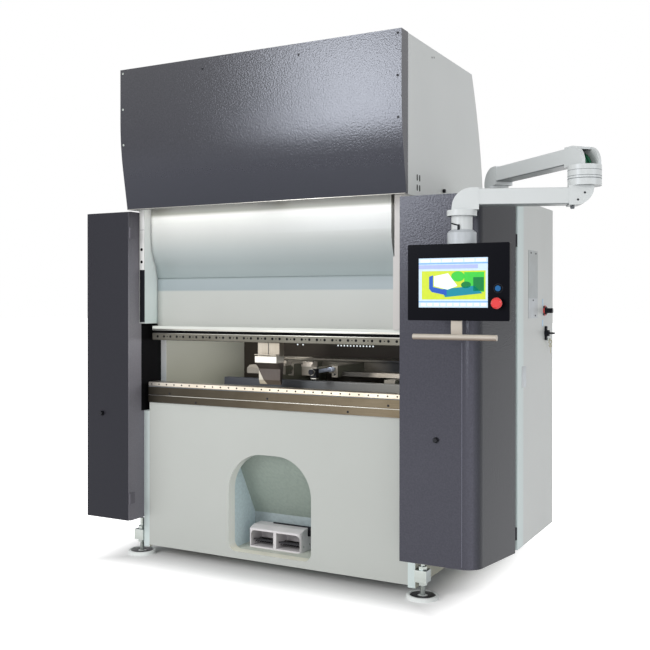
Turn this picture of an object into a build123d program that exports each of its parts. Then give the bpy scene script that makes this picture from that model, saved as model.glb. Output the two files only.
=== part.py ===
from build123d import *
import os
from math import atan2, cos, degrees, hypot, radians, sin

# Press brake. Millimetres, +X to the operator's right, +Y to the rear, +Z up.
# The sizes below are in machine coordinates: X = 0 midway between the C-frames,
# Y = 0 on the front of the bed and Z = 0 on the floor. The last step moves the
# finished pieces so that the origin is the middle of the base of the whole box.

# Frame and bed
inner_half = 776.0
plate_thickness = 38.0
outer_half = inner_half + plate_thickness
frame_bottom = 45.0
frame_top = 2040.0
frame_rear = 960.0
lower_jaw_top = 802.0
throat_depth = 150.0
throat_radius = 60.0
upper_jaw_bottom = 1285.0
upper_jaw_front = -42.0
jaw_corner_radius = 8.0
bed_thickness = 60.0
bed_bottom = 56.0
bed_top = 850.0
bed_core_bottom = 640.0
table_top = 940.0
table_ledge = 890.0
table_front = -9.0
table_depth = 213.0
die_rail_setback = 2.0
die_rail_depth = 76.0
die_rail_top = 962.0
die_rail_foot = 3.0

# Pedal recess and foot pedal
recess_half = 249.0
recess_bottom = 92.0
recess_top = 611.0
recess_top_radius = 205.0
recess_bottom_radius = 45.0
recess_back = 262.0
recess_slope_end = 248.0
sheet = 4.0
pedal_box_left = -190.0
pedal_box_width = 312.0
pedal_box_front = 115.0
pedal_box_depth = 125.0
pedal_box_height = 115.0
pedal_box_slope = 45.0
pedal_box_corner = 24.0
pedal_bay_corner = 22.0
pedal_roof = 24.0
pedal_wall = 8.0
pedal_divider = 18.0
pedal_thickness = 8.0
pedal_tilt = 12.0
pedal_gap = 6.0
pedal_pin_radius = 5.0
pedal_bar_radius = 4.0
pedal_bar_reach = 90.0

# Feet
foot_front_y = 20.0
foot_rear_y = 900.0
foot_radius = 78.0
foot_height = 18.0
foot_stem_radius = 11.0
foot_block_low = 78.0
foot_block_high = 135.0
foot_block_size = 60.0
foot_x = outer_half + foot_block_size / 2
foot_stem_top = 195.0

# Ram
ram_clearance = 6.0
ram_half = inner_half - ram_clearance
cover_left = -ram_half
post_width = 70.0
post_gap = 15.0
post_left = ram_half - post_width
cover_right = post_left - post_gap
cover_bottom = 1271.0
cover_top = 2180.0
cover_front = 8.0
cover_setback = 66.0
cover_rear = 100.0
cover_curve_top = 1760.0
cover_curve_bottom = 1495.0
cover_seam = 1533.0
seam_width = 5.0
ledge_height = 23.0
ram_beam_thickness = 50.0
guide_gap = 0.3
guide_levels = ((1420.0, 1640.0), (1930.0, 2120.0))
clamp_bottom = 1193.0
clamp_top = 1232.0
clamp_front = 18.0
clamp_depth = 112.0
clamp_setback = 40.0
punch_left = -90.0
punch_width = 130.0
punch_tip = 973.0
punch_centre = 60.0
punch_back = 25.0
punch_front = 22.0
punch_reach = 52.0
punch_knee = 82.0
punch_heel = 117.0
punch_lip = 33.0
punch_ledge = 6.0
tool_slot_width = 16.0
tool_slot_depth = 25.0

# Ram's right post and the strips on the left C-frame
post_front = 12.0
post_step_z = 1623.0
post_step = 5.0
strip_thickness = 5.0
strip_break = 1581.0
strip_width = 30.0

# Hood
hood_sheet = 4.0
hood_clearance = 0.3
hood_half = outer_half + hood_clearance + hood_sheet
hood_cover_half = hood_half + hood_clearance + hood_sheet
hood_front = -189.0
hood_bottom_front = -131.0
hood_bottom = 1905.0
hood_curve = 335.0
hood_flat = 413.0
hood_bend = hood_bottom + hood_curve
hood_top = hood_bend + hood_flat
hood_bend_radius = 1500.0
hood_wrap = -112.0
hood_side_front = -160.0
hood_side_lap = 10.0
hood_flange_z = hood_bottom + 200.0
hood_top_rear = 791.0
hood_rear = 977.0
hood_rear_bend = 2055.0
hood_rear_middle = (905.0, 2360.0)
lip_depth = 34.0
lamp_width = 22.0
lamp_height = 18.0
lamp_inset = 50.0

# Left cabinet
cabinet_front = -133.0
left_cabinet_width = 296.0
left_cabinet_outer = -outer_half - left_cabinet_width
left_cabinet_bottom = 208.0
left_cabinet_top = 1898.0
cabinet_rear = 930.0
door_thickness = 20.0
door_gap = 3.0

# Right cabinet, cover and side enclosure
right_cover_overlap = 24.0
right_cover_left = outer_half - right_cover_overlap
right_cover_face = 300.0
right_cover_flat = right_cover_left + right_cover_face
right_cover_radius = 79.0
right_cover_slope = 80.0
right_cover_rear = 252.0
right_bottom = 205.0
right_top = 1892.0
cover_sheet = 18.0
enclosure_front = 292.0
enclosure_rear = 985.0
enclosure_width = 386.0
enclosure_right = outer_half + enclosure_width
enclosure_top = 1905.0
side_door_thickness = 22.0
enclosure_radius = 25.0

# Rear panel
rear_panel_bottom = 205.0
rear_panel_thickness = 15.0

# Backgauge
gauge_beam_y = 640.0
gauge_beam_depth = 110.0
gauge_beam_left = -400.0
gauge_beam_right = inner_half - 86.0
gauge_beam_low = 1003.0
gauge_beam_high = 1078.0
gauge_flange = 10.0
gauge_channel = 40.0
gauge_arm_front = 310.0
gauge_arm_width = 34.0
gauge_arm_height = 61.0
gauge_arms_x = (-48.0, 222.0)
gauge_plate = 12.0
gauge_bracket_back = 82.0
gauge_finger_front = 200.0
gauge_finger_nose = 4.0
gauge_finger_width = 62.0
gauge_finger_step = 14.0
gauge_finger_base = 1016.0
gauge_finger_low = 1063.0
gauge_finger_top = 1087.0
gauge_fingers_x = (-48.0, 112.0)
gauge_carrier_width = 60.0
gauge_carrier_depth = 62.0
gauge_wing_left = -262.0
gauge_wing_top = 1045.0
gauge_rods_x = (-48.0, 158.0)
gauge_rod_z = 1046.0
gauge_rod_radius = 14.0
gauge_rails_x = (-200.0, 560.0)
gauge_rail_width = 60.0
gauge_rail_low = 930.0
gauge_clearance = 0.3
gauge_guide_y = 345.0
gauge_guide_low = 1008.0
support_left = -415.0
support_depth = 46.0
support_low = 850.0
support_high = 988.0
cross_beam_front = 270.0
cross_beam_depth = 60.0
cross_beam_low = 870.0

# Control arm and panel
base_x = enclosure_right - 105.0
base_y = 362.0
elbow_x = base_x + 532.0
elbow_y = -110.0
hang_x = elbow_x - 477.0
hang_y = -295.0
pivot_radius = 58.0
elbow_radius = 70.0
hang_flange_radius = 64.0
hang_tube_radius = 45.0
coupling_radius = 62.0
arm_width = 90.0
arm_height = 70.0
arm_plate_lip = 4.0
web_inset = 20.0
lower_web_inset = 38.0
panel_bottom = 1324.5
panel_height = 327.0
coupling_height = 60.5
coupling_top = panel_bottom + panel_height + coupling_height
hang_tube_height = 59.0
hang_flange_low = coupling_top + hang_tube_height
hang_flange_height = 25.0
lower_arm_bottom = hang_flange_low + 44.0
elbow_disc_low = lower_arm_bottom + 78.0
elbow_disc_split = elbow_disc_low + 31.0
elbow_disc_high = elbow_disc_split + 55.0
upper_arm_bottom = elbow_disc_high + 11.0
base_flange_low = upper_arm_bottom - 28.0
bracket_plate = 12.0
cheek = 14.0
swivel_gap = 0.3
panel_width = 454.0
panel_face = 24.0
panel_back_inset = 62.0
panel_front = -350.0
panel_depth = 110.0
screen_width = 310.0
screen_height = 211.0
screen_left = 50.5
screen_bottom = 56.0
button_x = hang_x + 178.0
blue_button_z = panel_bottom + 136.0
blue_button_radius = 12.0
stop_button_z = panel_bottom + 74.5
stop_button_radius = 23.0
stop_stem_radius = 12.0
stem_length = 14.0
button_gap = 0.5
collar_width = 5.0
stop_collar = 7.0
blue_collar = 4.0
button_bore_depth = 24.0
handle_radius = 12.5
handle_stem_half = 24.0
handle_length = 372.0
handle_drop = 69.5
handle_z = panel_bottom - handle_drop
handle_centre = hang_x - 7.0

# Side door fittings
plate_front = 478.0
plate_rear = 647.0
plate_low = 1323.0
plate_high = 1665.0
selector_y = 784.0
selector_z = 1360.0
main_switch_y = 795.0
main_switch_z = 1241.0
hinge_recess = 30.0
side_hinge_x = enclosure_right + 16.0
side_hinge_y = 284.0
side_hinge_radius = 7.0
side_hinge_height = 60.0
side_hinge_z = (1700.0, 290.0)
left_latch_inset = 110.0
left_latch_x = left_cabinet_outer + left_latch_inset
left_latch_z = 789.0
left_hinge_offset = 6.0
left_hinge_radius = 5.5
left_hinge_z = (1780.0, 330.0)
right_latch_inset = 180.0
right_latch_x = right_cover_left + right_latch_inset
right_latch_z = 778.0


def block(x_range, y_range, z_range):
    """A box between three pairs of faces."""
    ranges = (x_range, y_range, z_range)
    centre = [(low + high) / 2 for low, high in ranges]
    size = [high - low for low, high in ranges]
    return Pos(*centre) * Box(*size)


def prism_x(outline, x_low, x_high):
    """An outline drawn in (Y, Z), extruded along X."""
    face = Plane.YZ * make_face(outline)
    return Pos(x_low, 0, 0) * extrude(face, x_high - x_low, dir=(1, 0, 0))


def prism_y(outline, y_low, y_high):
    """An outline drawn in (X, Z), extruded along Y."""
    face = Plane((0, 0, 0), x_dir=(1, 0, 0), z_dir=(0, -1, 0)) * make_face(outline)
    return Pos(0, y_low, 0) * extrude(face, y_high - y_low, dir=(0, 1, 0))


def prism_z(outline, z_low, z_high):
    """An outline drawn in (X, Y), extruded upwards."""
    return Pos(0, 0, z_low) * extrude(make_face(outline), z_high - z_low, dir=(0, 0, 1))


def rod_z(x, y, z_low, z_high, radius):
    """A vertical cylinder between two levels."""
    return Pos(x, y, (z_low + z_high) / 2) * Cylinder(radius, z_high - z_low)


def rod_x(x_low, x_high, y, z, radius):
    """A cylinder along X."""
    return Pos((x_low + x_high) / 2, y, z) * Rot(0, 90, 0) * Cylinder(radius, x_high - x_low)


def rod_y(x, y_low, y_high, z, radius):
    """A cylinder along Y."""
    return Pos(x, (y_low + y_high) / 2, z) * Rot(90, 0, 0) * Cylinder(radius, y_high - y_low)


def c_frame(side):
    """One side plate with its throat, open to the front between the two jaws."""
    outline = FilletPolyline(
        (0, frame_bottom),
        (0, lower_jaw_top),
        (throat_depth, lower_jaw_top),
        (throat_depth, upper_jaw_bottom),
        (upper_jaw_front, upper_jaw_bottom),
        (upper_jaw_front, frame_top),
        (frame_rear, frame_top),
        (frame_rear, frame_bottom),
        radius=(0, 8, throat_radius, throat_radius, jaw_corner_radius, 0, 0, 0),
        close=True,
    )
    inner = side * inner_half
    outer = side * outer_half
    return prism_x(outline, min(inner, outer), max(inner, outer))


def bed_front_plate():
    """The front plate of the bed with the arched pedal opening."""
    plate = block((-inner_half, inner_half), (0, bed_thickness), (bed_bottom, bed_top))
    opening = FilletPolyline(
        (-recess_half, recess_bottom),
        (recess_half, recess_bottom),
        (recess_half, recess_top),
        (-recess_half, recess_top),
        radius=(recess_bottom_radius, recess_bottom_radius, recess_top_radius, recess_top_radius),
        close=True,
    )
    return plate - prism_y(opening, -1, bed_thickness + 1)


def table_rail():
    """The table that carries the die rail, with a bead along its stepped front."""
    rear = table_front + table_depth
    outline = Polyline(
        (table_front, bed_top),
        (table_front, table_ledge),
        (table_front + 4, table_ledge),
        (table_front + 4, table_ledge + 5),
        (table_front, table_ledge + 5),
        (table_front, table_top),
        (rear, table_top),
        (rear, bed_top),
        close=True,
    )
    return prism_x(outline, -inner_half, inner_half)


def die_rail():
    """The hardened rail along the table's front edge, undercut at its foot."""
    front = table_front + die_rail_setback
    rear = front + die_rail_depth
    outline = Polyline(
        (front + die_rail_foot, table_top),
        (front + die_rail_foot, table_top + die_rail_foot),
        (front, table_top + die_rail_foot),
        (front, die_rail_top - 1.5),
        (front + 1.5, die_rail_top),
        (rear, die_rail_top),
        (rear, table_top),
        close=True,
    )
    return prism_x(outline, -inner_half, inner_half)


def pedal_recess():
    """The bent sheet lining behind the pedal opening."""
    side_outline = Polyline(
        (bed_thickness, recess_bottom - sheet),
        (bed_thickness, recess_top + sheet),
        (recess_back + sheet, recess_slope_end),
        (recess_back + sheet, recess_bottom - sheet),
        close=True,
    )
    outer = prism_x(side_outline, -recess_half - sheet, recess_half + sheet)
    inner_outline = Polyline(
        (bed_thickness - 1, recess_bottom),
        (bed_thickness - 1, recess_top),
        (recess_back, recess_slope_end),
        (recess_back, recess_bottom),
        close=True,
    )
    return outer - prism_x(inner_outline, -recess_half, recess_half)


def pedal_bay(index):
    """The X range of one bay of the foot pedal."""
    bay_width = (pedal_box_width - 2 * pedal_wall - pedal_divider) / 2
    low = pedal_box_left + pedal_wall + index * (bay_width + pedal_divider)
    return low, low + bay_width


def pedal_housing():
    """The guard of the double foot pedal: two arched bays, with the hinge pins across them."""
    low = recess_bottom
    high = recess_bottom + pedal_box_height
    front = pedal_box_front
    rear = pedal_box_front + pedal_box_depth
    outline = FilletPolyline(
        (front, low),
        (front, high - 14),
        (front + pedal_box_slope, high),
        (rear, high),
        (rear, low),
        radius=(0, 10, 25, 12, 0),
        close=True,
    )
    right = pedal_box_left + pedal_box_width
    housing = prism_x(outline, pedal_box_left, right)
    plan = FilletPolyline(
        (pedal_box_left, front),
        (right, front),
        (right, rear),
        (pedal_box_left, rear),
        radius=(3, pedal_box_corner, 3, 3),
        close=True,
    )
    housing = housing & prism_z(plan, low, high)
    for index in range(2):
        bay_left, bay_right = pedal_bay(index)
        corners = (0, 0, pedal_bay_corner, 2) if index else (0, 0, 2, pedal_bay_corner)
        bay = FilletPolyline(
            (bay_left, low + pedal_wall),
            (bay_right, low + pedal_wall),
            (bay_right, high - pedal_roof),
            (bay_left, high - pedal_roof),
            radius=corners,
            close=True,
        )
        housing = housing - prism_y(bay, front - 5, rear - pedal_wall)
    hinge_y, hinge_z = pedal_hinge()
    for index in range(2):
        housing = housing + rod_x(*pedal_bay(index), hinge_y, hinge_z, pedal_pin_radius)
    return housing


def pedal_hinge():
    """The axis of both pedals, (Y, Z), near the back of their bays."""
    return (
        pedal_box_front + pedal_box_depth - pedal_wall - 16,
        recess_bottom + pedal_wall + 14,
    )


def pedal(index):
    """One treadle: a tilted plate on a round hinge tube, with a low front lip."""
    low, high = pedal_bay(index)
    hinge_y, hinge_z = pedal_hinge()
    length = hinge_y - pedal_box_front - 14
    plate = block(
        (low + pedal_gap, high - pedal_gap),
        (-length, 0),
        (-pedal_thickness / 2, pedal_thickness / 2),
    )
    plate = plate + rod_x(low + pedal_gap, high - pedal_gap, 0, 0, pedal_pin_radius + 4)
    placed = Pos(0, hinge_y, hinge_z) * Rot(-pedal_tilt, 0, 0) * plate
    return placed - rod_x(low - 1, high + 1, hinge_y, hinge_z, pedal_pin_radius + 0.1)


def pedal_bar():
    """The black carrying rod over the rear of the guard, with its foot on the guard's side."""
    right = pedal_box_left + pedal_box_width
    rear = pedal_box_front + pedal_box_depth
    y = rear - 30
    z = recess_bottom + pedal_box_height + pedal_bar_radius
    bar = rod_x(right - 220, right + pedal_bar_reach, y, z, pedal_bar_radius)
    foot = block((right, right + 38), (y - 16, y + 16), (z - 44, z))
    return bar + foot


def foot_places():
    """The four feet, (X, Y)."""
    return [(side * foot_x, y) for side in (-1, 1) for y in (foot_front_y, foot_rear_y)]


def foot_pad(x, y):
    """A round levelling pad with a raised rim and a shallow dish on top."""
    outline = Polyline(
        (0, 0),
        (foot_radius, 0),
        (foot_radius, foot_height - 4),
        (foot_radius - 4, foot_height),
        (foot_radius - 14, foot_height),
        (foot_radius - 14, foot_height - 5),
        (0, foot_height - 5),
        close=True,
    )
    profile = Plane.XZ * make_face(outline)
    return Pos(x, y, 0) * revolve(profile, Axis.Z)


def foot_bracket(x, y):
    """The block on the plate's outer side with the levelling screw through it."""
    side = 1 if x > 0 else -1
    inner = side * outer_half
    outer = inner + side * foot_block_size
    half = foot_block_size / 2
    bracket = block(
        (min(inner, outer), max(inner, outer)),
        (y - half, y + half),
        (foot_block_low, foot_block_high),
    )
    stem = rod_z(x, y, foot_height - 5, foot_stem_top, foot_stem_radius)
    nut_radius = 2 * foot_stem_radius
    nut = prism_z(RegularPolygon(nut_radius, 6).edges(), 0, 16)
    return bracket + stem + Pos(x, y, foot_block_high) * nut + Pos(x, y, foot_block_low - 16) * nut


def cover_edges(offset):
    """The front line of the ram cover, (Y, Z), moved back by an offset."""
    middle_y = (cover_front + cover_setback) / 2
    middle_z = (cover_curve_top + cover_curve_bottom) / 2
    half_way = (middle_y + offset, middle_z)
    upper = (cover_front + offset, cover_curve_top)
    lower = (cover_setback + offset, cover_curve_bottom)
    return upper, half_way, lower


def ram_cover():
    """The ram's front cover: proud above, curved back to a set-back face below."""
    upper, half_way, lower = cover_edges(0)
    outline = Polyline((cover_setback, cover_bottom), lower)
    outline += TangentArc(lower, half_way, tangent=(0, 1))
    outline += TangentArc(upper, half_way, tangent=(0, -1))
    outline += Polyline(
        upper,
        (cover_front, cover_top),
        (cover_rear, cover_top),
        (cover_rear, cover_bottom),
        (cover_setback, cover_bottom),
    )
    cover = prism_x(outline, cover_left, cover_right)
    seam = block(
        (cover_left, cover_right),
        (cover_setback - 40, cover_setback + 3),
        (cover_seam, cover_seam + seam_width),
    )
    return cover - seam


def clamp_rail():
    """The upper clamping bar, stepped back at its top edge, with the tool slot below."""
    rear = clamp_front + clamp_depth
    step_top = cover_bottom - ledge_height
    outline = Polyline(
        (clamp_front, clamp_bottom + 3),
        (clamp_front, clamp_top),
        (clamp_front + clamp_setback, clamp_top),
        (clamp_front + clamp_setback, step_top),
        (rear, step_top),
        (rear, clamp_bottom),
        (clamp_front + 3, clamp_bottom),
        close=True,
    )
    right = ram_half
    slot = block(
        (cover_left, right),
        (punch_centre - tool_slot_width / 2, punch_centre + tool_slot_width / 2),
        (clamp_bottom, clamp_bottom + tool_slot_depth),
    )
    return prism_x(outline, cover_left, right) - slot


def ram_beam():
    """The ram's beam behind the cover, with guide shoes at both ends."""
    y_range = (cover_rear, cover_rear + ram_beam_thickness)
    end = ram_half
    beam = block((cover_left, end), y_range, (cover_bottom, cover_top))
    for z_range in guide_levels:
        reach = inner_half - guide_gap
        beam = beam + block((-reach, reach), y_range, z_range)
    return beam


def ram_ledge():
    """The pale ledge strip between the cover and the clamping bar."""
    return block(
        (cover_left, ram_half),
        (clamp_front, clamp_front + clamp_depth),
        (cover_bottom - ledge_height, cover_bottom),
    )


def punch():
    """The punch: a tang in the slot, a shank, a thin ledge over the belly and a set-back blade."""
    shoulder = clamp_bottom
    half_tang = tool_slot_width / 2 - 1
    belly_low = punch_tip + punch_heel
    belly_high = belly_low + punch_lip
    blade_front = punch_centre - punch_back / 2
    outline = FilletPolyline(
        (punch_centre - half_tang, shoulder + tool_slot_depth - 2),
        (punch_centre + half_tang, shoulder + tool_slot_depth - 2),
        (punch_centre + half_tang, shoulder),
        (punch_centre + punch_back, shoulder),
        (punch_centre + punch_back, belly_low),
        (punch_centre + 3, punch_tip),
        (punch_centre - 3, punch_tip),
        (blade_front, punch_tip + punch_back),
        (blade_front, punch_tip + punch_knee),
        (punch_centre - punch_reach, belly_low),
        (punch_centre - punch_reach, belly_high),
        (punch_centre - punch_front, belly_high),
        (punch_centre - punch_front, shoulder),
        (punch_centre - half_tang, shoulder),
        radius=(0, 0, 0, 0, 12, 0, 0, 0, 8, 2, 2, 0, 0, 0),
        close=True,
    )
    right = punch_left + punch_width
    ledge = block(
        (punch_left, right),
        (punch_centre - punch_reach - punch_ledge, punch_centre - punch_front),
        (belly_high + punch_ledge, belly_high + punch_ledge + 4),
    )
    return prism_x(outline, punch_left, right) + ledge


def hood_line(offset):
    """The hood's front line from bottom to top, (Y, Z), moved in by an offset."""
    return FilletPolyline(
        (hood_bottom_front + offset, hood_bottom),
        (hood_front + offset, hood_bend),
        (hood_front + offset, hood_top),
        radius=hood_bend_radius,
    )


def hood_front_cover():
    """The curved front sheet, wrapped round both sides, with its return lip."""
    outer = hood_line(0)
    bottom = (hood_bottom_front, hood_bottom)
    top = (hood_front, hood_top)
    outline = outer + Polyline(top, (hood_wrap, hood_top), (hood_wrap, hood_bottom), bottom)
    shell = prism_x(outline, -hood_cover_half, hood_cover_half)
    inner = hood_line(hood_sheet)
    inner_outline = inner + Polyline(
        (hood_front + hood_sheet, hood_top),
        (hood_wrap + 1, hood_top),
        (hood_wrap + 1, hood_bottom),
        (hood_bottom_front + hood_sheet, hood_bottom),
    )
    inside = hood_cover_half - hood_sheet
    shell = shell - prism_x(inner_outline, -inside, inside)
    front = hood_bottom_front + hood_sheet / 2
    lip_half = hood_half - hood_sheet - hood_clearance
    lip = block(
        (-lip_half, lip_half),
        (front, hood_bottom_front + lip_depth),
        (hood_bottom, hood_bottom + hood_sheet),
    )
    return shell + lip


def hood_lamps():
    """Two lamp bars that stand on the lip and light the ram."""
    front = hood_bottom_front + hood_sheet + 8
    low = hood_bottom + hood_sheet
    lamps = []
    outer = inner_half - lamp_inset
    for x_range in ((-outer, -lamp_inset), (lamp_inset, outer)):
        lamps.append(block(x_range, (front, front + lamp_width), (low, low + lamp_height)))
    return lamps


def hood_rear_line(offset):
    """The arched back of the hood, (Y, Z), from bottom to top, moved in by an offset."""
    middle_y, middle_z = hood_rear_middle
    start = (hood_rear - offset, hood_rear_bend)
    middle = (middle_y - offset, middle_z)
    end = (hood_top_rear - offset, hood_top - offset)
    return start, middle, end


def hood_sides():
    """The two side sheets of the hood, with their arched rear edge."""
    start, middle, end = hood_rear_line(0)
    outline = ThreePointArc(start, middle, end) + Polyline(
        end,
        (hood_side_front, hood_top),
        (hood_side_front, hood_flange_z),
        (hood_wrap - hood_side_lap, hood_bottom),
        (hood_rear, hood_bottom),
        start,
    )
    inner = hood_half - hood_sheet
    return [prism_x(outline, inner, hood_half), prism_x(outline, -hood_half, -inner)]


def hood_roof():
    """The flat top and the arched back between the side sheets, bent from one sheet."""
    half = hood_half - hood_sheet
    start, middle, end = hood_rear_line(0)
    start_in, middle_in, end_in = hood_rear_line(hood_sheet)
    outline = ThreePointArc(start, middle, end)
    outline += Polyline(
        end,
        (hood_front + hood_sheet, hood_top),
        (hood_front + hood_sheet, hood_top - hood_sheet),
        end_in,
    )
    outline += ThreePointArc(end_in, middle_in, start_in)
    outline += Polyline(
        start_in,
        (hood_rear - hood_sheet, hood_bottom),
        (hood_rear, hood_bottom),
        start,
    )
    return prism_x(outline, -half, half)


def left_cabinet():
    """The closed housing beside the left C-frame."""
    inner = -outer_half
    return block(
        (left_cabinet_outer, inner),
        (cabinet_front + door_thickness + 0.3, cabinet_rear),
        (left_cabinet_bottom, left_cabinet_top),
    )


def left_door():
    """The front door of the left cabinet, hinged on its inner edge."""
    inner = -outer_half
    door = block(
        (left_cabinet_outer, inner),
        (cabinet_front, cabinet_front + door_thickness),
        (left_cabinet_bottom + door_gap, left_cabinet_top - door_gap),
    )
    edges = door.edges().filter_by(Axis.Z).group_by(Axis.Y)[0]
    return fillet(edges, 5)


def cover_path(offset):
    """The outer line of the right cover in plan, moved in by an offset."""
    angle = radians(right_cover_slope)
    radius = right_cover_radius
    centre = (right_cover_flat, cabinet_front + radius)
    reach = radius - offset
    start = (right_cover_left, cabinet_front + offset)
    flat_end = (right_cover_flat, cabinet_front + offset)
    arc_middle = (centre[0] + reach * sin(angle / 2), centre[1] - reach * cos(angle / 2))
    arc_end = (centre[0] + reach * sin(angle), centre[1] - reach * cos(angle))
    run = right_cover_rear - arc_end[1]
    rear = (arc_end[0] + run / sin(angle) * cos(angle), right_cover_rear)
    return start, flat_end, arc_middle, arc_end, rear


def right_cover():
    """The dark front cover of the right cabinet, curved round its outer corner."""
    start, flat_end, arc_middle, arc_end, rear = cover_path(0)
    in_start, in_flat, in_middle, in_end, in_rear = cover_path(cover_sheet)
    outline = Polyline(start, flat_end)
    outline += ThreePointArc(flat_end, arc_middle, arc_end)
    outline += Polyline(arc_end, rear, in_rear, in_end)
    outline += ThreePointArc(in_end, in_middle, in_flat)
    outline += Polyline(in_flat, in_start, start)
    return prism_z(outline, right_bottom, right_top)


def right_cabinet():
    """The closed housing that carries the curved cover."""
    left = outer_half
    in_start, in_flat, in_middle, in_end, in_rear = cover_path(cover_sheet)
    outline = Polyline((left, in_start[1]), in_flat)
    outline += ThreePointArc(in_flat, in_middle, in_end)
    outline += Polyline(
        in_end,
        in_rear,
        (enclosure_right - hinge_recess, in_rear[1]),
        (enclosure_right - hinge_recess, enclosure_front),
        (left, enclosure_front),
        (left, in_start[1]),
    )
    return prism_z(outline, right_bottom + 10, right_top)


def side_enclosure():
    """The white electrical enclosure behind the right cabinet."""
    left = outer_half
    outline = FilletPolyline(
        (left, enclosure_front),
        (enclosure_right, enclosure_front),
        (enclosure_right, enclosure_rear),
        (left, enclosure_rear),
        radius=(0, 0, enclosure_radius, 0),
        close=True,
    )
    return prism_z(outline, right_bottom, enclosure_top)


def side_door():
    """The hinged side door of the enclosure, with rounded outer edges."""
    low = enclosure_right + 0.3
    door = block(
        (low, low + side_door_thickness),
        (enclosure_front + door_gap, enclosure_rear - enclosure_radius),
        (right_bottom + door_gap, enclosure_top - door_gap),
    )
    edges = door.edges().filter_by(Axis.Z).group_by(Axis.X)[-1]
    return fillet(edges, 6)


def side_door_face():
    """The X of the side door's outer face."""
    return enclosure_right + 0.3 + side_door_thickness


def quarter_bracket(reach, flange_radius, low, high, plate_top, upwards, inset=web_inset, hollow=False):
    """An arm's elbow bracket: a round flange, a curved web and an end plate at reach.

    It is drawn with its pivot at the origin and the tube leaving along +X. A hollow one
    is open at its curved back, between two cheeks.
    """
    flange = rod_z(0, 0, low, high, flange_radius)
    half = arm_width / 2 + 2
    if upwards:
        start = (inset - flange_radius, high)
        bend = (inset - flange_radius, plate_top)
        corner = (reach, high)
    else:
        start = (inset - flange_radius, low)
        bend = (inset - flange_radius, plate_top)
        corner = (reach, low)
    end = (reach, plate_top)
    web_radius = 0.9 * min(abs(plate_top - start[1]), reach - start[0])
    outline = FilletPolyline(start, bend, end, corner, radius=(0, web_radius, 0, 0), close=True)
    web = prism_y(outline, -half, half)
    if hollow:
        inner = half - cheek
        web = web - block(
            (start[0] - 1, reach - 2 * bracket_plate),
            (-inner, inner),
            (high, plate_top - cheek),
        )
        web = web - block((start[0] - 1, 0), (-inner, inner), (high, plate_top + 1))
    return flange + web


def placed_arm(solid, x, y, toward_x, toward_y):
    """Turn a piece drawn along +X so that it points from one pivot to another."""
    angle = degrees(atan2(toward_y - y, toward_x - x))
    return Pos(x, y, 0) * Rot(0, 0, angle) * solid


def arm_tube(length, start, end, bottom):
    """A straight arm tube drawn along +X, with rounded long edges."""
    tube = block((start, length - end), (-arm_width / 2, arm_width / 2), (bottom, bottom + arm_height))
    return fillet(tube.edges().filter_by(Axis.X), 6)


def arm_pedestal():
    """The fixed foot of the arm on top of the enclosure: a square plate and a round post."""
    half = pivot_radius + 8
    plate = block(
        (base_x - half, base_x + half),
        (base_y - half, base_y + half),
        (enclosure_top, enclosure_top + 12),
    )
    return plate + rod_z(base_x, base_y, enclosure_top, base_flange_low - swivel_gap, pivot_radius - 6)


def upper_arm():
    """The upper arm from the base pivot to the elbow: brackets and tube."""
    length = hypot(elbow_x - base_x, elbow_y - base_y)
    reach = pivot_radius + bracket_plate
    top = upper_arm_bottom + arm_height + arm_plate_lip
    base_end = quarter_bracket(reach, pivot_radius, base_flange_low, base_flange_low + 12, top, True)
    elbow_end = quarter_bracket(
        reach + 8, elbow_radius, elbow_disc_split + swivel_gap, elbow_disc_high, top, True, hollow=True
    )
    tube = arm_tube(length, reach, reach + 8, upper_arm_bottom)
    brackets = [
        placed_arm(base_end, base_x, base_y, elbow_x, elbow_y),
        placed_arm(elbow_end, elbow_x, elbow_y, base_x, base_y),
    ]
    return placed_arm(tube, base_x, base_y, elbow_x, elbow_y), brackets


def lower_arm():
    """The lower arm from the elbow to the hanging pivot: brackets and tube."""
    length = hypot(hang_x - elbow_x, hang_y - elbow_y)
    reach = pivot_radius + bracket_plate
    plate_end = lower_arm_bottom - arm_plate_lip
    elbow_end = quarter_bracket(
        reach, elbow_radius, elbow_disc_low, elbow_disc_split, plate_end, False, inset=lower_web_inset
    )
    top = lower_arm_bottom + arm_height + arm_plate_lip
    flange_top = hang_flange_low + hang_flange_height
    hang_end = quarter_bracket(reach, hang_flange_radius, hang_flange_low, flange_top, top, True)
    hang_tube = rod_z(0, 0, coupling_top + swivel_gap, hang_flange_low, hang_tube_radius)
    tube = arm_tube(length, reach, reach, lower_arm_bottom)
    brackets = [
        placed_arm(elbow_end, elbow_x, elbow_y, hang_x, hang_y),
        placed_arm(hang_end + hang_tube, hang_x, hang_y, elbow_x, elbow_y),
    ]
    return placed_arm(tube, elbow_x, elbow_y, hang_x, hang_y), brackets


def panel_coupling():
    """The turning joint on top of the control panel."""
    top = panel_bottom + panel_height
    outline = Polyline(
        (0, top),
        (coupling_radius, top),
        (coupling_radius, coupling_top - 12),
        (hang_tube_radius + 4, coupling_top),
        (0, coupling_top),
        close=True,
    )
    return Pos(hang_x, hang_y, 0) * revolve(Plane.XZ * make_face(outline), Axis.Z)


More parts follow.
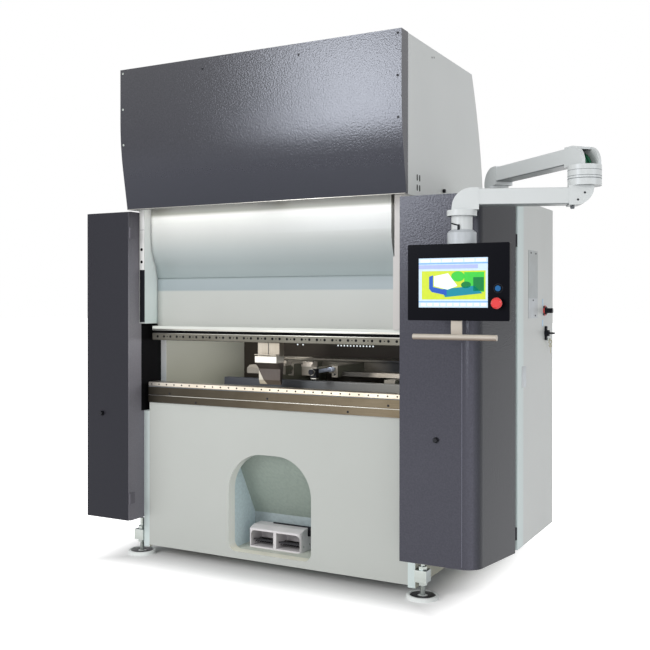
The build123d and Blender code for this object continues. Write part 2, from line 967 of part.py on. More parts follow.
def panel_housing():
    """The control panel's housing: a flat front with a tapered back."""
    left = hang_x - panel_width / 2
    front = block(
        (left, left + panel_width),
        (panel_front, panel_front + panel_face),
        (panel_bottom, panel_bottom + panel_height),
    )
    front = fillet(front.edges().filter_by(Axis.Y), 5)
    back = block(
        (left + panel_back_inset, left + panel_width - panel_back_inset),
        (panel_front + panel_face, panel_front + panel_depth),
        (panel_bottom + 10, panel_bottom + panel_height),
    )
    screen = block(
        (left + screen_left, left + screen_left + screen_width),
        (panel_front - 1, panel_front + 4),
        (panel_bottom + screen_bottom, panel_bottom + screen_bottom + screen_height),
    )
    housing = front + back - screen
    for radius, z, collar in (
        (stop_stem_radius, stop_button_z, stop_collar),
        (blue_button_radius, blue_button_z, blue_collar),
    ):
        housing = housing + rod_y(button_x, panel_front - collar, panel_front + 1, z, radius + collar_width)
        bore_end = panel_front + button_bore_depth
        housing = housing - rod_y(button_x, panel_front - collar - 1, bore_end, z, radius + button_gap)
    return housing


def panel_screen():
    """The screen's glass, seated in the front of the housing."""
    left = hang_x - panel_width / 2 + screen_left
    low = panel_bottom + screen_bottom
    return block((left, left + screen_width), (panel_front + 2, panel_front + 4), (low, low + screen_height))


def panel_handle():
    """The T-shaped handle: a flat stem and a round bar."""
    stem = block(
        (handle_centre - handle_stem_half, handle_centre + handle_stem_half),
        (panel_front + 6, panel_front + 14),
        (handle_z, panel_bottom),
    )
    foot = block(
        (handle_centre - handle_stem_half, handle_centre + handle_stem_half),
        (panel_front - 20, panel_front + 14),
        (handle_z - 8, handle_z + 8),
    )
    half = handle_length / 2
    bar = rod_x(handle_centre - half, handle_centre + half, panel_front - 20, handle_z, handle_radius)
    return stem + foot + bar


def front_button(profile, z):
    """A button turned about the front-facing axis of its bore in the panel."""
    turned = revolve(Plane.XZ * make_face(profile), Axis.Z)
    return Pos(button_x, panel_front, z) * Rot(90, 0, 0) * turned


def stop_button():
    """The mushroom head of the emergency stop, with its stem."""
    outline = Polyline(
        (0, -stem_length),
        (stop_stem_radius, -stem_length),
        (stop_stem_radius, 14),
        (stop_button_radius, 20),
        (stop_button_radius, 27),
        (stop_button_radius - 7, 34),
        (0, 34),
        close=True,
    )
    return front_button(outline, stop_button_z)


def blue_button():
    """The flush start button."""
    outline = Polyline(
        (0, -stem_length),
        (blue_button_radius, -stem_length),
        (blue_button_radius, 6),
        (0, 6),
        close=True,
    )
    return front_button(outline, blue_button_z)


def left_hinges():
    """The two hinge knuckles of the left door, on the cabinet's inner side."""
    hinges = []
    for z in left_hinge_z:
        z_range = (z - side_hinge_height / 2, z + side_hinge_height / 2)
        x = -outer_half + left_hinge_offset
        y = cabinet_front + left_hinge_radius
        leaf_x = (-outer_half + guide_gap, -outer_half + guide_gap + 3)
        leaf = block(leaf_x, (y, cabinet_front + door_thickness + 30), z_range)
        hinges.append(leaf + rod_z(x, y, *z_range, left_hinge_radius))
    return hinges


def side_hinges():
    """The two hinge knuckles of the side door, on the enclosure's front edge."""
    hinges = []
    for z in side_hinge_z:
        z_range = (z - side_hinge_height / 2, z + side_hinge_height / 2)
        leaf = block((enclosure_right - 12, side_hinge_x), (side_hinge_y, enclosure_front), z_range)
        hinges.append(leaf + rod_z(side_hinge_x, side_hinge_y, *z_range, side_hinge_radius))
    return hinges


def side_plate():
    """The bare plate riveted to the side door."""
    face = side_door_face()
    return block((face, face + 1.5), (plate_front, plate_rear), (plate_low, plate_high))


def selector_switch():
    """The small rotary selector above the main switch: a square base and a long round knob."""
    face = side_door_face()
    base = block(
        (face, face + 6),
        (selector_y - 24, selector_y + 24),
        (selector_z - 24, selector_z + 24),
    )
    collar = rod_x(face + 6, face + 14, selector_y, selector_z, 19)
    knob = rod_x(face + 14, face + 44, selector_y, selector_z, 13)
    return base + collar + knob


def main_switch():
    """The main switch's turning grip: a flat bar on a hub, with a finger pin."""
    low = side_door_face() + swivel_gap
    hub = rod_x(low, low + 24, main_switch_y, main_switch_z, 16)
    grip = block(
        (low, low + 12),
        (main_switch_y - 8, main_switch_y + 8),
        (main_switch_z - 37, main_switch_z + 37),
    )
    pin = rod_x(low + 24, low + 52, main_switch_y, main_switch_z, 5)
    return hub + chamfer(grip.edges().filter_by(Axis.X), 5) + pin


def cover_latch(x, z, face):
    """A quarter-turn latch: a round head on a door's front face."""
    head = rod_y(x, face - 9, face, z, 13)
    return head + block((x - 3, x + 3), (face - 14, face), (z - 12, z + 12))


def gauge_rails():
    """The two backgauge rails from the cross beam to the rear panel."""
    half = gauge_rail_width / 2
    rails = []
    for x in gauge_rails_x:
        rails.append(
            block(
                (x - half, x + half),
                (cross_beam_front, frame_rear),
                (gauge_rail_low, gauge_beam_low - gauge_clearance),
            )
        )
    return rails


def cross_beam():
    """The fixed beam behind the table that carries the backgauge rails."""
    return block(
        (-inner_half, inner_half),
        (cross_beam_front, cross_beam_front + cross_beam_depth),
        (cross_beam_low, gauge_rail_low),
    )


def table_support():
    """The bar behind the table that holds up the sheet, with a rounded top edge."""
    front = table_front + table_depth
    outline = FilletPolyline(
        (front, support_low),
        (front, support_high),
        (front + support_depth, support_high),
        (front + support_depth, support_low),
        radius=(0, 4, 4, 0),
        close=True,
    )
    return prism_x(outline, support_left, inner_half)


def gauge_beam():
    """The moving beam of the backgauge, a channel open to the front."""
    rear = gauge_beam_y + gauge_beam_depth
    outline = Polyline(
        (gauge_beam_y, gauge_beam_low),
        (gauge_beam_y, gauge_beam_low + gauge_flange),
        (gauge_beam_y + gauge_channel, gauge_beam_low + gauge_flange),
        (gauge_beam_y + gauge_channel, gauge_beam_high - gauge_flange),
        (gauge_beam_y, gauge_beam_high - gauge_flange),
        (gauge_beam_y, gauge_beam_high),
        (rear, gauge_beam_high),
        (rear, gauge_beam_low),
        close=True,
    )
    return prism_x(outline, gauge_beam_left, gauge_beam_right)


def gauge_arms():
    """The two long arms that reach forward from the beam; the right one has a side bracket."""
    arms = []
    top = gauge_beam_low + gauge_arm_height
    half = gauge_arm_width / 2
    for x in gauge_arms_x:
        bar = block((x - half, x + half), (gauge_arm_front, gauge_beam_y), (gauge_beam_low, top))
        arms.append(bar)
    right = gauge_arms_x[1]
    bracket = block(
        (gauge_rods_x[1] - gauge_rod_radius, right - half),
        (gauge_arm_front + gauge_bracket_back, gauge_arm_front + gauge_bracket_back + gauge_plate),
        (gauge_finger_base, top),
    )
    arms[1] = arms[1] + bracket
    slot = block(
        (right - half - 1, right - half / 3),
        (gauge_arm_front - 1, gauge_arm_front + 20),
        (top - 32, top - 10),
    )
    arms[1] = arms[1] - slot
    return arms


def gauge_guide():
    """The pale guide bar that runs along X beside the right arm, with a lip at its front."""
    left = gauge_arms_x[1] + gauge_arm_width / 2
    outline = Polyline(
        (gauge_guide_y, gauge_guide_low),
        (gauge_guide_y, gauge_guide_low + 8),
        (gauge_guide_y + 14, gauge_guide_low + 8),
        (gauge_guide_y + 14, gauge_guide_low + 22),
        (gauge_guide_y + 60, gauge_guide_low + 22),
        (gauge_guide_y + 60, gauge_guide_low),
        close=True,
    )
    return prism_x(outline, left, gauge_beam_right)


def gauge_carriers():
    """The finger carriers with the rods that join them to the arms.

    The left one has a low wing to its left, the right one a lug.
    """
    carriers = []
    half = gauge_carrier_width / 2
    for x in gauge_fingers_x:
        carriers.append(
            block(
                (x - half, x + half),
                (gauge_finger_front, gauge_finger_front + gauge_carrier_depth),
                (gauge_finger_base, gauge_finger_low),
            )
        )
    right = gauge_fingers_x[1] + half
    lug = block(
        (right, gauge_rods_x[1] + gauge_rod_radius),
        (gauge_finger_front, gauge_finger_front + 24),
        (gauge_rod_z - gauge_rod_radius, gauge_finger_low),
    )
    carriers[1] = carriers[1] + lug
    left = gauge_fingers_x[0] - half
    wing_rear = gauge_finger_front + gauge_carrier_depth
    wing = Polyline(
        (gauge_finger_front, gauge_finger_base),
        (gauge_finger_front, gauge_wing_top),
        (gauge_finger_front + 24, gauge_finger_low - 4),
        (wing_rear, gauge_finger_low - 4),
        (wing_rear, gauge_finger_base),
        close=True,
    )
    carriers[0] = carriers[0] + prism_x(wing, gauge_wing_left, left)
    rod_starts = (gauge_finger_front + gauge_carrier_depth, gauge_finger_front + 24)
    rod_ends = (gauge_arm_front, gauge_arm_front + gauge_bracket_back)
    for index in range(2):
        rod = rod_y(gauge_rods_x[index], rod_starts[index], rod_ends[index], gauge_rod_z, gauge_rod_radius)
        carriers[index] = carriers[index] + rod
    return carriers


def gauge_fingers():
    """The stepped stop fingers on top of the carriers."""
    fingers = []
    half = gauge_finger_width / 2
    front = gauge_finger_front - gauge_finger_nose
    rear = gauge_finger_front + gauge_carrier_depth
    middle = (gauge_finger_low + gauge_finger_top) / 2
    for x in gauge_fingers_x:
        outline = Polyline(
            (front, gauge_finger_low),
            (front, middle),
            (front + gauge_finger_step, middle),
            (front + gauge_finger_step, gauge_finger_top),
            (rear, gauge_finger_top),
            (rear, gauge_finger_low),
            close=True,
        )
        fingers.append(prism_x(outline, x - half, x + half))
    return fingers


def right_post():
    """The post at the ram's right end, wider and proud below its step."""
    right = ram_half
    upper = block((post_left, right), (post_front, cover_rear), (post_step_z, cover_top))
    lower = block(
        (post_left - post_step, right),
        (post_front - post_step, cover_rear),
        (cover_bottom, post_step_z),
    )
    return upper + lower


def jaw_strips():
    """The pale upper strip and the dark lower strip on the left jaw's front edge."""
    right = -inner_half
    y_range = (upper_jaw_front - strip_thickness, upper_jaw_front)
    pale = block((right - strip_width, right), y_range, (strip_break, frame_top))
    dark = block((right - strip_width, right), y_range, (upper_jaw_bottom + jaw_corner_radius, strip_break))
    return pale, dark


def build():
    """All nodes by name, in machine coordinates. A list is one node of several solids."""
    pieces = {}
    pieces["c_frame_left"] = c_frame(-1)
    pieces["c_frame_right"] = c_frame(1)
    pieces["bed_front_plate"] = bed_front_plate()
    pieces["bed_core"] = block(
        (-inner_half, inner_half),
        (bed_thickness, table_front + table_depth),
        (bed_core_bottom, bed_top),
    )
    pieces["table_rail"] = table_rail()
    pieces["die_rail"] = die_rail()
    pieces["pedal_recess"] = pedal_recess()
    pieces["pedal_housing"] = pedal_housing()
    pieces["pedal_bar"] = pedal_bar()
    pieces["pedal_left"] = pedal(0)
    pieces["pedal_right"] = pedal(1)
    pieces["foot_pads"] = [foot_pad(x, y) for x, y in foot_places()]
    pieces["foot_brackets"] = [foot_bracket(x, y) for x, y in foot_places()]
    pieces["rear_panel"] = block(
        (-outer_half, outer_half),
        (frame_rear, frame_rear + rear_panel_thickness),
        (rear_panel_bottom, hood_bottom),
    )
    pieces["hood_front_cover"] = hood_front_cover()
    pieces["hood_lamps"] = hood_lamps()
    pieces["hood_sides"] = hood_sides()
    pieces["hood_roof"] = hood_roof()
    pieces["jaw_strip_pale"], pieces["jaw_strip_dark"] = jaw_strips()
    pieces["left_cabinet"] = left_cabinet()
    pieces["left_door"] = left_door()
    pieces["left_latch"] = cover_latch(left_latch_x, left_latch_z, cabinet_front)
    pieces["right_cabinet"] = right_cabinet()
    pieces["right_cover"] = right_cover()
    pieces["right_latch"] = cover_latch(right_latch_x, right_latch_z, cabinet_front)
    pieces["side_enclosure"] = side_enclosure()
    pieces["door_hinges"] = left_hinges() + side_hinges()
    pieces["side_door"] = side_door()
    pieces["side_plate"] = side_plate()
    pieces["selector_switch"] = selector_switch()
    pieces["main_switch"] = main_switch()
    pieces["table_support"] = table_support()
    pieces["cross_beam"] = cross_beam()
    pieces["gauge_rails"] = gauge_rails()
    pieces["gauge_beam"] = gauge_beam()
    pieces["gauge_arms"] = gauge_arms()
    pieces["gauge_guide"] = gauge_guide()
    pieces["gauge_carriers"] = gauge_carriers()
    pieces["gauge_fingers"] = gauge_fingers()
    pieces["ram_beam"] = ram_beam()
    pieces["ram_cover"] = ram_cover()
    pieces["ram_ledge"] = ram_ledge()
    pieces["ram_post"] = right_post()
    pieces["clamp_rail"] = clamp_rail()
    pieces["punch"] = punch()
    pieces["arm_pedestal"] = arm_pedestal()
    pieces["upper_arm_tube"], pieces["upper_arm_brackets"] = upper_arm()
    pieces["lower_arm_tube"], pieces["lower_arm_brackets"] = lower_arm()
    pieces["panel_coupling"] = panel_coupling()
    pieces["panel_housing"] = panel_housing()
    pieces["panel_screen"] = panel_screen()
    pieces["panel_handle"] = panel_handle()
    pieces["stop_button"] = stop_button()
    pieces["blue_button"] = blue_button()
    return pieces


def origin_of(pieces):
    """The middle of the base of the box round all pieces."""
    solids = []
    for piece in pieces.values():
        solids.extend(piece if isinstance(piece, list) else [piece])
    box = Compound(children=[Compound(solid.solids()) for solid in solids]).bounding_box()
    return Vector((box.min.X + box.max.X) / 2, (box.min.Y + box.max.Y) / 2, box.min.Z)


def main():
    """Write every node, moved so that the origin is the middle of the base."""
    os.makedirs("parts", exist_ok=True)
    pieces = build()
    origin = origin_of(pieces)
    for name, piece in pieces.items():
        members = piece if isinstance(piece, list) else [piece]
        solids = [solid for member in members for solid in member.solids()]
        node = solids[0] if len(solids) == 1 else Compound(solids)
        export_step(Pos(-origin.X, -origin.Y, -origin.Z) * node, f"parts/{name}.step")
    return origin


if __name__ == "__main__":
    main()
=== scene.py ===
"""Press brake: finishes, small parts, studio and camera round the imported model."""

from math import cos, pi, radians, sin

import bmesh
import bpy
from mathutils import Euler, Matrix, Vector


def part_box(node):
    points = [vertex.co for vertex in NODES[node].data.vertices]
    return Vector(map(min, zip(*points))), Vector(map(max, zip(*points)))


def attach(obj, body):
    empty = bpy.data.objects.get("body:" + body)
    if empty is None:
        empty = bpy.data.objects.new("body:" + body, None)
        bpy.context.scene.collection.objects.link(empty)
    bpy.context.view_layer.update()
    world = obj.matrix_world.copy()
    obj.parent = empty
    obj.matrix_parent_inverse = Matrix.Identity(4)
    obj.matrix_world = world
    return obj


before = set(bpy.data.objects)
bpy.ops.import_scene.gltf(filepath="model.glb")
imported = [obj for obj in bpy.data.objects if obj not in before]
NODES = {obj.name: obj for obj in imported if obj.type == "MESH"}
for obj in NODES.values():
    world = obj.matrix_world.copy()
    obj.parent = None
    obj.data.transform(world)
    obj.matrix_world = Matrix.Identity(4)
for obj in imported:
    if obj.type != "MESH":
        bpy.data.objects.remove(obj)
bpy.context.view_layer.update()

# The machine's own coordinates, in millimetres: X = 0 midway between the side plates,
# Y = 0 on the front of the bed, Z = 0 on the floor.
MM = 0.001
PLATE_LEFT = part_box("c_frame_left")
PLATE_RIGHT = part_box("c_frame_right")
MIDDLE_X = (PLATE_LEFT[1].x + PLATE_RIGHT[0].x) / 2
BED_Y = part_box("bed_front_plate")[0].y


def at(x, y, z):
    """A point in machine millimetres as a point of the frame in metres."""
    return Vector((MIDDLE_X + x * MM, BED_Y + y * MM, z * MM))


def machine_box(node):
    """A CAD node's lowest and highest corner in machine millimetres."""
    low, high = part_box(node)
    shift = Vector((MIDDLE_X, BED_Y, 0))
    return (low - shift) / MM, (high - shift) / MM


# Finishes


def linear(red, green, blue):
    """An sRGB colour of 0 to 255 as linear light."""
    values = []
    for level in (red, green, blue):
        c = level / 255
        values.append(c / 12.92 if c <= 0.04045 else ((c + 0.055) / 1.055) ** 2.4)
    return (*values, 1.0)


WHITE = (1.0, 1.0, 1.0, 1.0)
# A faint cool tint in every highlight.
COOL = (0.83, 0.88, 1.0, 1.0)
COAT_ROUGHNESS = 0.12
# The features per metre of each slow or fine change of tone.
CLOUDS = 1.7
STREAKS = 420.0
STAINS = 9.0
SHADES = 14.0
PATCHES = 60.0
# How much of a metal's slow stains shows.
STAIN_SHARE = 0.7
STAIN_TONE = (0.82, 0.8, 0.76, 1.0)


def new_material(name, roughness=0.5, metallic=0.0, coat=0.0, specular=0.5):
    """A material with its shader and its object coordinates."""
    material = bpy.data.materials.new(name)
    material.use_nodes = True
    tree = material.node_tree
    shader = tree.nodes["Principled BSDF"]
    shader.inputs["Roughness"].default_value = roughness
    shader.inputs["Metallic"].default_value = metallic
    shader.inputs["Coat Weight"].default_value = coat
    shader.inputs["Coat Roughness"].default_value = COAT_ROUGHNESS
    shader.inputs["Specular IOR Level"].default_value = specular
    shader.inputs["Specular Tint"].default_value = COOL
    place = tree.nodes.new("ShaderNodeTexCoord")
    return material, tree, shader, place.outputs["Object"]


def add_noise(tree, place, scale, detail=2.0, stretch=(1, 1, 1), roughness=0.5):
    """A noise texture, its scale in features per metre, stretched along axes."""
    mapping = tree.nodes.new("ShaderNodeMapping")
    mapping.inputs["Scale"].default_value = stretch
    noise = tree.nodes.new("ShaderNodeTexNoise")
    noise.inputs["Scale"].default_value = scale
    noise.inputs["Detail"].default_value = detail
    noise.inputs["Roughness"].default_value = roughness
    tree.links.new(place, mapping.inputs["Vector"])
    tree.links.new(mapping.outputs["Vector"], noise.inputs["Vector"])
    return noise.outputs["Fac"]


def add_ramp(tree, factor, stops):
    """A colour ramp through (position, colour) stops."""
    ramp = tree.nodes.new("ShaderNodeValToRGB")
    elements = ramp.color_ramp.elements
    elements[0].position, elements[0].color = stops[0]
    elements[1].position, elements[1].color = stops[-1]
    for position, colour in stops[1:-1]:
        elements.new(position).color = colour
    tree.links.new(factor, ramp.inputs["Fac"])
    return ramp.outputs["Color"]


def add_mix(tree, factor, first, second, mode="MIX"):
    """A colour mix; factor is a number or a socket."""
    mix = tree.nodes.new("ShaderNodeMix")
    mix.data_type = "RGBA"
    mix.blend_type = mode
    if isinstance(factor, (int, float)):
        mix.inputs["Factor"].default_value = factor
    else:
        tree.links.new(factor, mix.inputs["Factor"])
    for socket, value in ((mix.inputs["A"], first), (mix.inputs["B"], second)):
        if isinstance(value, tuple):
            socket.default_value = value
        else:
            tree.links.new(value, socket)
    return mix.outputs["Result"]


def add_bump(tree, shader, height, strength, distance):
    """Bump from a height socket, on the base and the coat; distance in metres."""
    bump = tree.nodes.new("ShaderNodeBump")
    bump.inputs["Strength"].default_value = strength
    bump.inputs["Distance"].default_value = distance
    tree.links.new(height, bump.inputs["Height"])
    tree.links.new(bump.outputs["Normal"], shader.inputs["Normal"])
    tree.links.new(bump.outputs["Normal"], shader.inputs["Coat Normal"])


def add_span(tree, value, low, high, start=0.0, end=1.0, interpolation="LINEAR"):
    """A value from low to high, as start to end."""
    span = tree.nodes.new("ShaderNodeMapRange")
    span.interpolation_type = interpolation
    for name, level in (("From Min", low), ("From Max", high), ("To Min", start), ("To Max", end)):
        span.inputs[name].default_value = level
    tree.links.new(value, span.inputs["Value"])
    return span.outputs["Result"]


def add_place_ramp(tree, place, axis, stops):
    """A colour by place along an axis, through (machine millimetres, sRGB colour) stops."""
    split = tree.nodes.new("ShaderNodeSeparateXYZ")
    tree.links.new(place, split.inputs["Vector"])
    zero = {"X": MIDDLE_X, "Y": BED_Y, "Z": 0.0}[axis]
    first, last = stops[0][0], stops[-1][0]
    reach = last - first
    along = add_span(tree, split.outputs[axis], zero + first * MM, zero + last * MM)
    return add_ramp(tree, along, [((spot - first) / reach, linear(*tone)) for spot, tone in stops])


def add_facing(tree, axis, low, high):
    """0 to 1 as a surface turns towards the end of an axis of the object."""
    normal = tree.nodes.new("ShaderNodeTexCoord").outputs["Normal"]
    split = tree.nodes.new("ShaderNodeSeparateXYZ")
    tree.links.new(normal, split.inputs["Vector"])
    return add_span(tree, split.outputs[axis], low, high)


def scaled(colour, factor):
    """A linear colour made lighter or darker."""
    return (*[min(1.0, c * factor) for c in colour[:3]], 1.0)


def place_tone(tree, place, tone):
    """A plain colour, or a ramp where the tone is an axis with its stops."""
    return add_place_ramp(tree, place, *tone) if isinstance(tone[0], str) else linear(*tone)


def base_tone(tree, place, colour, turned):
    """A colour or shade, and other tones where the surface turns; most of those paint light and shade by
    which way the surface faces.
    """
    tone = place_tone(tree, place, colour)
    for axis, low, high, other in turned:
        tone = add_mix(tree, add_facing(tree, axis, low, high), tone, place_tone(tree, place, other))
    return tone


def powder_coat(name, colour, roughness, grain, bump, mottle, specular=0.5, cloud=0.03, turned=()):
    """Powder coat in a colour or shade: orange peel of that grain in metres, mottle and clouds."""
    material, tree, shader, place = new_material(name, roughness, specular=specular)
    peel = add_noise(tree, place, 1 / grain, detail=3.0)
    clouds = add_noise(tree, place, CLOUDS, detail=3.0)
    slow = add_ramp(tree, clouds, [(0.3, scaled(WHITE, 1 - 2 * cloud)), (0.7, WHITE)])
    fine = add_ramp(tree, peel, [(0.36, scaled(WHITE, 1 - mottle)), (0.64, WHITE)])
    tone = base_tone(tree, place, colour, turned)
    spread = add_mix(tree, 1.0, slow, fine, "MULTIPLY")
    tree.links.new(add_mix(tree, 1.0, tone, spread, "MULTIPLY"), shader.inputs["Base Color"])
    add_bump(tree, shader, peel, bump, grain * 0.2)
    return material


def ground_steel(name, colour, roughness, grain, streak=0.18, metallic=1.0, turned=()):
    """Ground metal in a colour or shade, with fine streaks along an axis and slow stains."""
    material, tree, shader, place = new_material(name, roughness, metallic=metallic)
    stretch = {"X": (0.02, 1, 1), "Y": (1, 0.02, 1), "Z": (1, 1, 0.02)}[grain]
    lines = add_noise(tree, place, STREAKS, detail=4.0, stretch=stretch)
    stains = add_noise(tree, place, STAINS, detail=5.0)
    fine = add_ramp(tree, lines, [(0.3, scaled(WHITE, 1 - 2 * streak)), (0.7, WHITE)])
    worn = add_ramp(tree, stains, [(0.35, STAIN_TONE), (0.6, WHITE)])
    tone = base_tone(tree, place, colour, turned)
    tone = add_mix(tree, STAIN_SHARE, tone, add_mix(tree, 1.0, tone, worn, "MULTIPLY"))
    tree.links.new(add_mix(tree, 1.0, tone, fine, "MULTIPLY"), shader.inputs["Base Color"])
    add_bump(tree, shader, lines, strength=0.12, distance=0.0003)
    return material


def moulded(name, colour, roughness=0.45, grain=0.0012, bump=0.15, coat=0.0, specular=0.5, turned=()):
    """Moulded plastic or rubber with a fine grain."""
    material, tree, shader, place = new_material(name, roughness, coat=coat, specular=specular)
    fine = add_noise(tree, place, 1 / grain, detail=2.0)
    slow = add_noise(tree, place, SHADES, detail=2.0)
    shade = add_ramp(tree, slow, [(0.3, scaled(WHITE, 0.9)), (0.7, WHITE)])
    tone = base_tone(tree, place, colour, turned)
    tree.links.new(add_mix(tree, 1.0, tone, shade, "MULTIPLY"), shader.inputs["Base Color"])
    add_bump(tree, shader, fine, bump, grain * 0.15)
    return material


def glowing(name, colour, strength):
    """A lit surface with a faint unevenness, such as a lamp or a part of a screen."""
    material, tree, shader, place = new_material(name, 0.25, specular=0.2)
    base = linear(*colour)
    patch = add_noise(tree, place, PATCHES, detail=2.0)
    tone = add_ramp(tree, patch, [(0.3, scaled(base, 0.92)), (0.7, base)])
    shader.inputs["Base Color"].default_value = scaled(base, 0.2)
    tree.links.new(tone, shader.inputs["Emission Color"])
    shader.inputs["Emission Strength"].default_value = strength
    return material


# Each shade is an axis with its stops: a place in machine millimetres and an sRGB colour. Most of these
# paint light and shade into the colour, as noted at each.
# The hood darker and bluer towards its bend and foot, where it turns down from the light: painted shade.
HOOD_PAINTED_SHADE = ("Z", [
    (1905, (16, 15, 27)),
    (2080, (34, 33, 42)),
    (2240, (52, 51, 56)),
    (2650, (66, 65, 68)),
])
# The ram cover: a bright band under the hood's lamps, painted light; darker at the very top under the
# hood's lip, painted shadow; a darker bluish band low down, painted reflection.
RAM_COVER_PAINTED_LIGHT = ("Z", [
    (1310, (188, 190, 185)),
    (1462, (190, 193, 188)),
    (1470, (158, 169, 172)),
    (1526, (161, 172, 175)),
    (1532, (146, 158, 158)),
    (1600, (152, 162, 162)),
    (1680, (174, 181, 180)),
    (1760, (202, 205, 202)),
    (1800, (216, 218, 215)),
    (1833, (228, 230, 226)),
    (1852, (244, 246, 242)),
    (1868, (255, 255, 252)),
    (1877, (224, 225, 218)),
    (1885, (176, 177, 168)),
    (1912, (140, 140, 134)),
])
# The table's face darker towards the left: painted shade.
TABLE_PAINTED_SHADE = ("X", [
    (-776, (56, 52, 44)),
    (-200, (78, 71, 59)),
    (300, (104, 94, 78)),
    (776, (120, 109, 90)),
])
# The die rail darker at its left end: painted shade.
DIE_RAIL_PAINTED_SHADE = ("X", [
    (-776, (184, 180, 172)),
    (-500, (226, 216, 200)),
    (100, (240, 229, 210)),
    (776, (240, 229, 210)),
])
# The punch's blade dark where it faces down, painted shade, with a white band above it, a painted
# highlight.
PUNCH_PAINTED_LIGHT = ("Z", [
    (973, (92, 84, 78)),
    (1086, (84, 77, 73)),
    (1092, (252, 250, 242)),
    (1120, (250, 247, 236)),
    (1126, (192, 183, 168)),
    (1216, (184, 176, 162)),
])
PLATE_SHADE = ("Z", [
    (1323, (182, 186, 188)),
    (1421, (178, 182, 184)),
    (1425, (158, 163, 162)),
    (1665, (166, 170, 169)),
])
# The side door paler and bluer along its front edge: a painted highlight.
DOOR_PAINTED_HIGHLIGHT = ("Y", [
    (295, (202, 216, 215)),
    (380, (196, 208, 207)),
    (405, (190, 193, 191)),
    (960, (190, 193, 191)),
])
# The enclosure lighter at its top: painted light.
ENCLOSURE_PAINTED_LIGHT = ("Z", [(205, (188, 191, 189)), (1300, (180, 183, 182)), (1905, (214, 216, 213))])
# The C-frames pale bluish low down and whitest round the bending gap: painted light.
FRAME_PAINTED_LIGHT = ("Z", [
    (45, (216, 228, 226)),
    (850, (220, 230, 228)),
    (962, (240, 246, 248)),
    (1190, (255, 255, 255)),
    (1292, (208, 212, 209)),
    (2040, (210, 210, 206)),
])
# The C-frames' inner walls lighter towards the top, under the hood's lamps: painted light.
WALL_PAINTED_LIGHT = ("Z", [
    (940, (202, 202, 184)),
    (1190, (214, 214, 200)),
    (1300, (236, 248, 246)),
    (2040, (255, 255, 252)),
])
# The left cabinet's inner wall darker under the hood, a painted shadow, and lightest at mid height, painted
# light.
CABINET_WALL_PAINTED_LIGHT = ("Z", [
    (211, (120, 118, 125)),
    (900, (128, 126, 133)),
    (1250, (156, 154, 160)),
    (1600, (134, 132, 139)),
    (1895, (88, 87, 93)),
])
# The hood's sides a little lighter towards their foot: painted light.
HOOD_SIDE_PAINTED_LIGHT = ("Z", [(1905, (216, 219, 217)), (2300, (208, 211, 210)), (2653, (206, 209, 208))])
# The gauge beam dark towards its right end, deep inside the machine: painted shade.
BEAM_PAINTED_SHADE = ("X", [
    (-400, (140, 134, 120)),
    (250, (132, 126, 114)),
    (400, (40, 38, 35)),
    (690, (20, 19, 18)),
])
# The gauge guide dark towards its left end: painted shade.
GUIDE_PAINTED_SHADE = ("X", [
    (239, (66, 63, 57)),
    (400, (78, 74, 66)),
    (450, (178, 170, 158)),
    (690, (196, 188, 176)),
])
# The table support dark towards its left end: painted shade.
SUPPORT_PAINTED_SHADE = ("X", [(-415, (66, 68, 74)), (100, (96, 99, 102)), (776, (168, 166, 158))])
# The left hinges take the lit tone of the cabinet's wall, a painted highlight along the door's inner edge,
# and the right ones are black.
HINGE_PAINTED_LIGHT = ("X", [
    (-814, (102, 100, 107)),
    (-700, (102, 100, 107)),
    (-600, (22, 22, 26)),
    (1230, (20, 20, 24)),
])

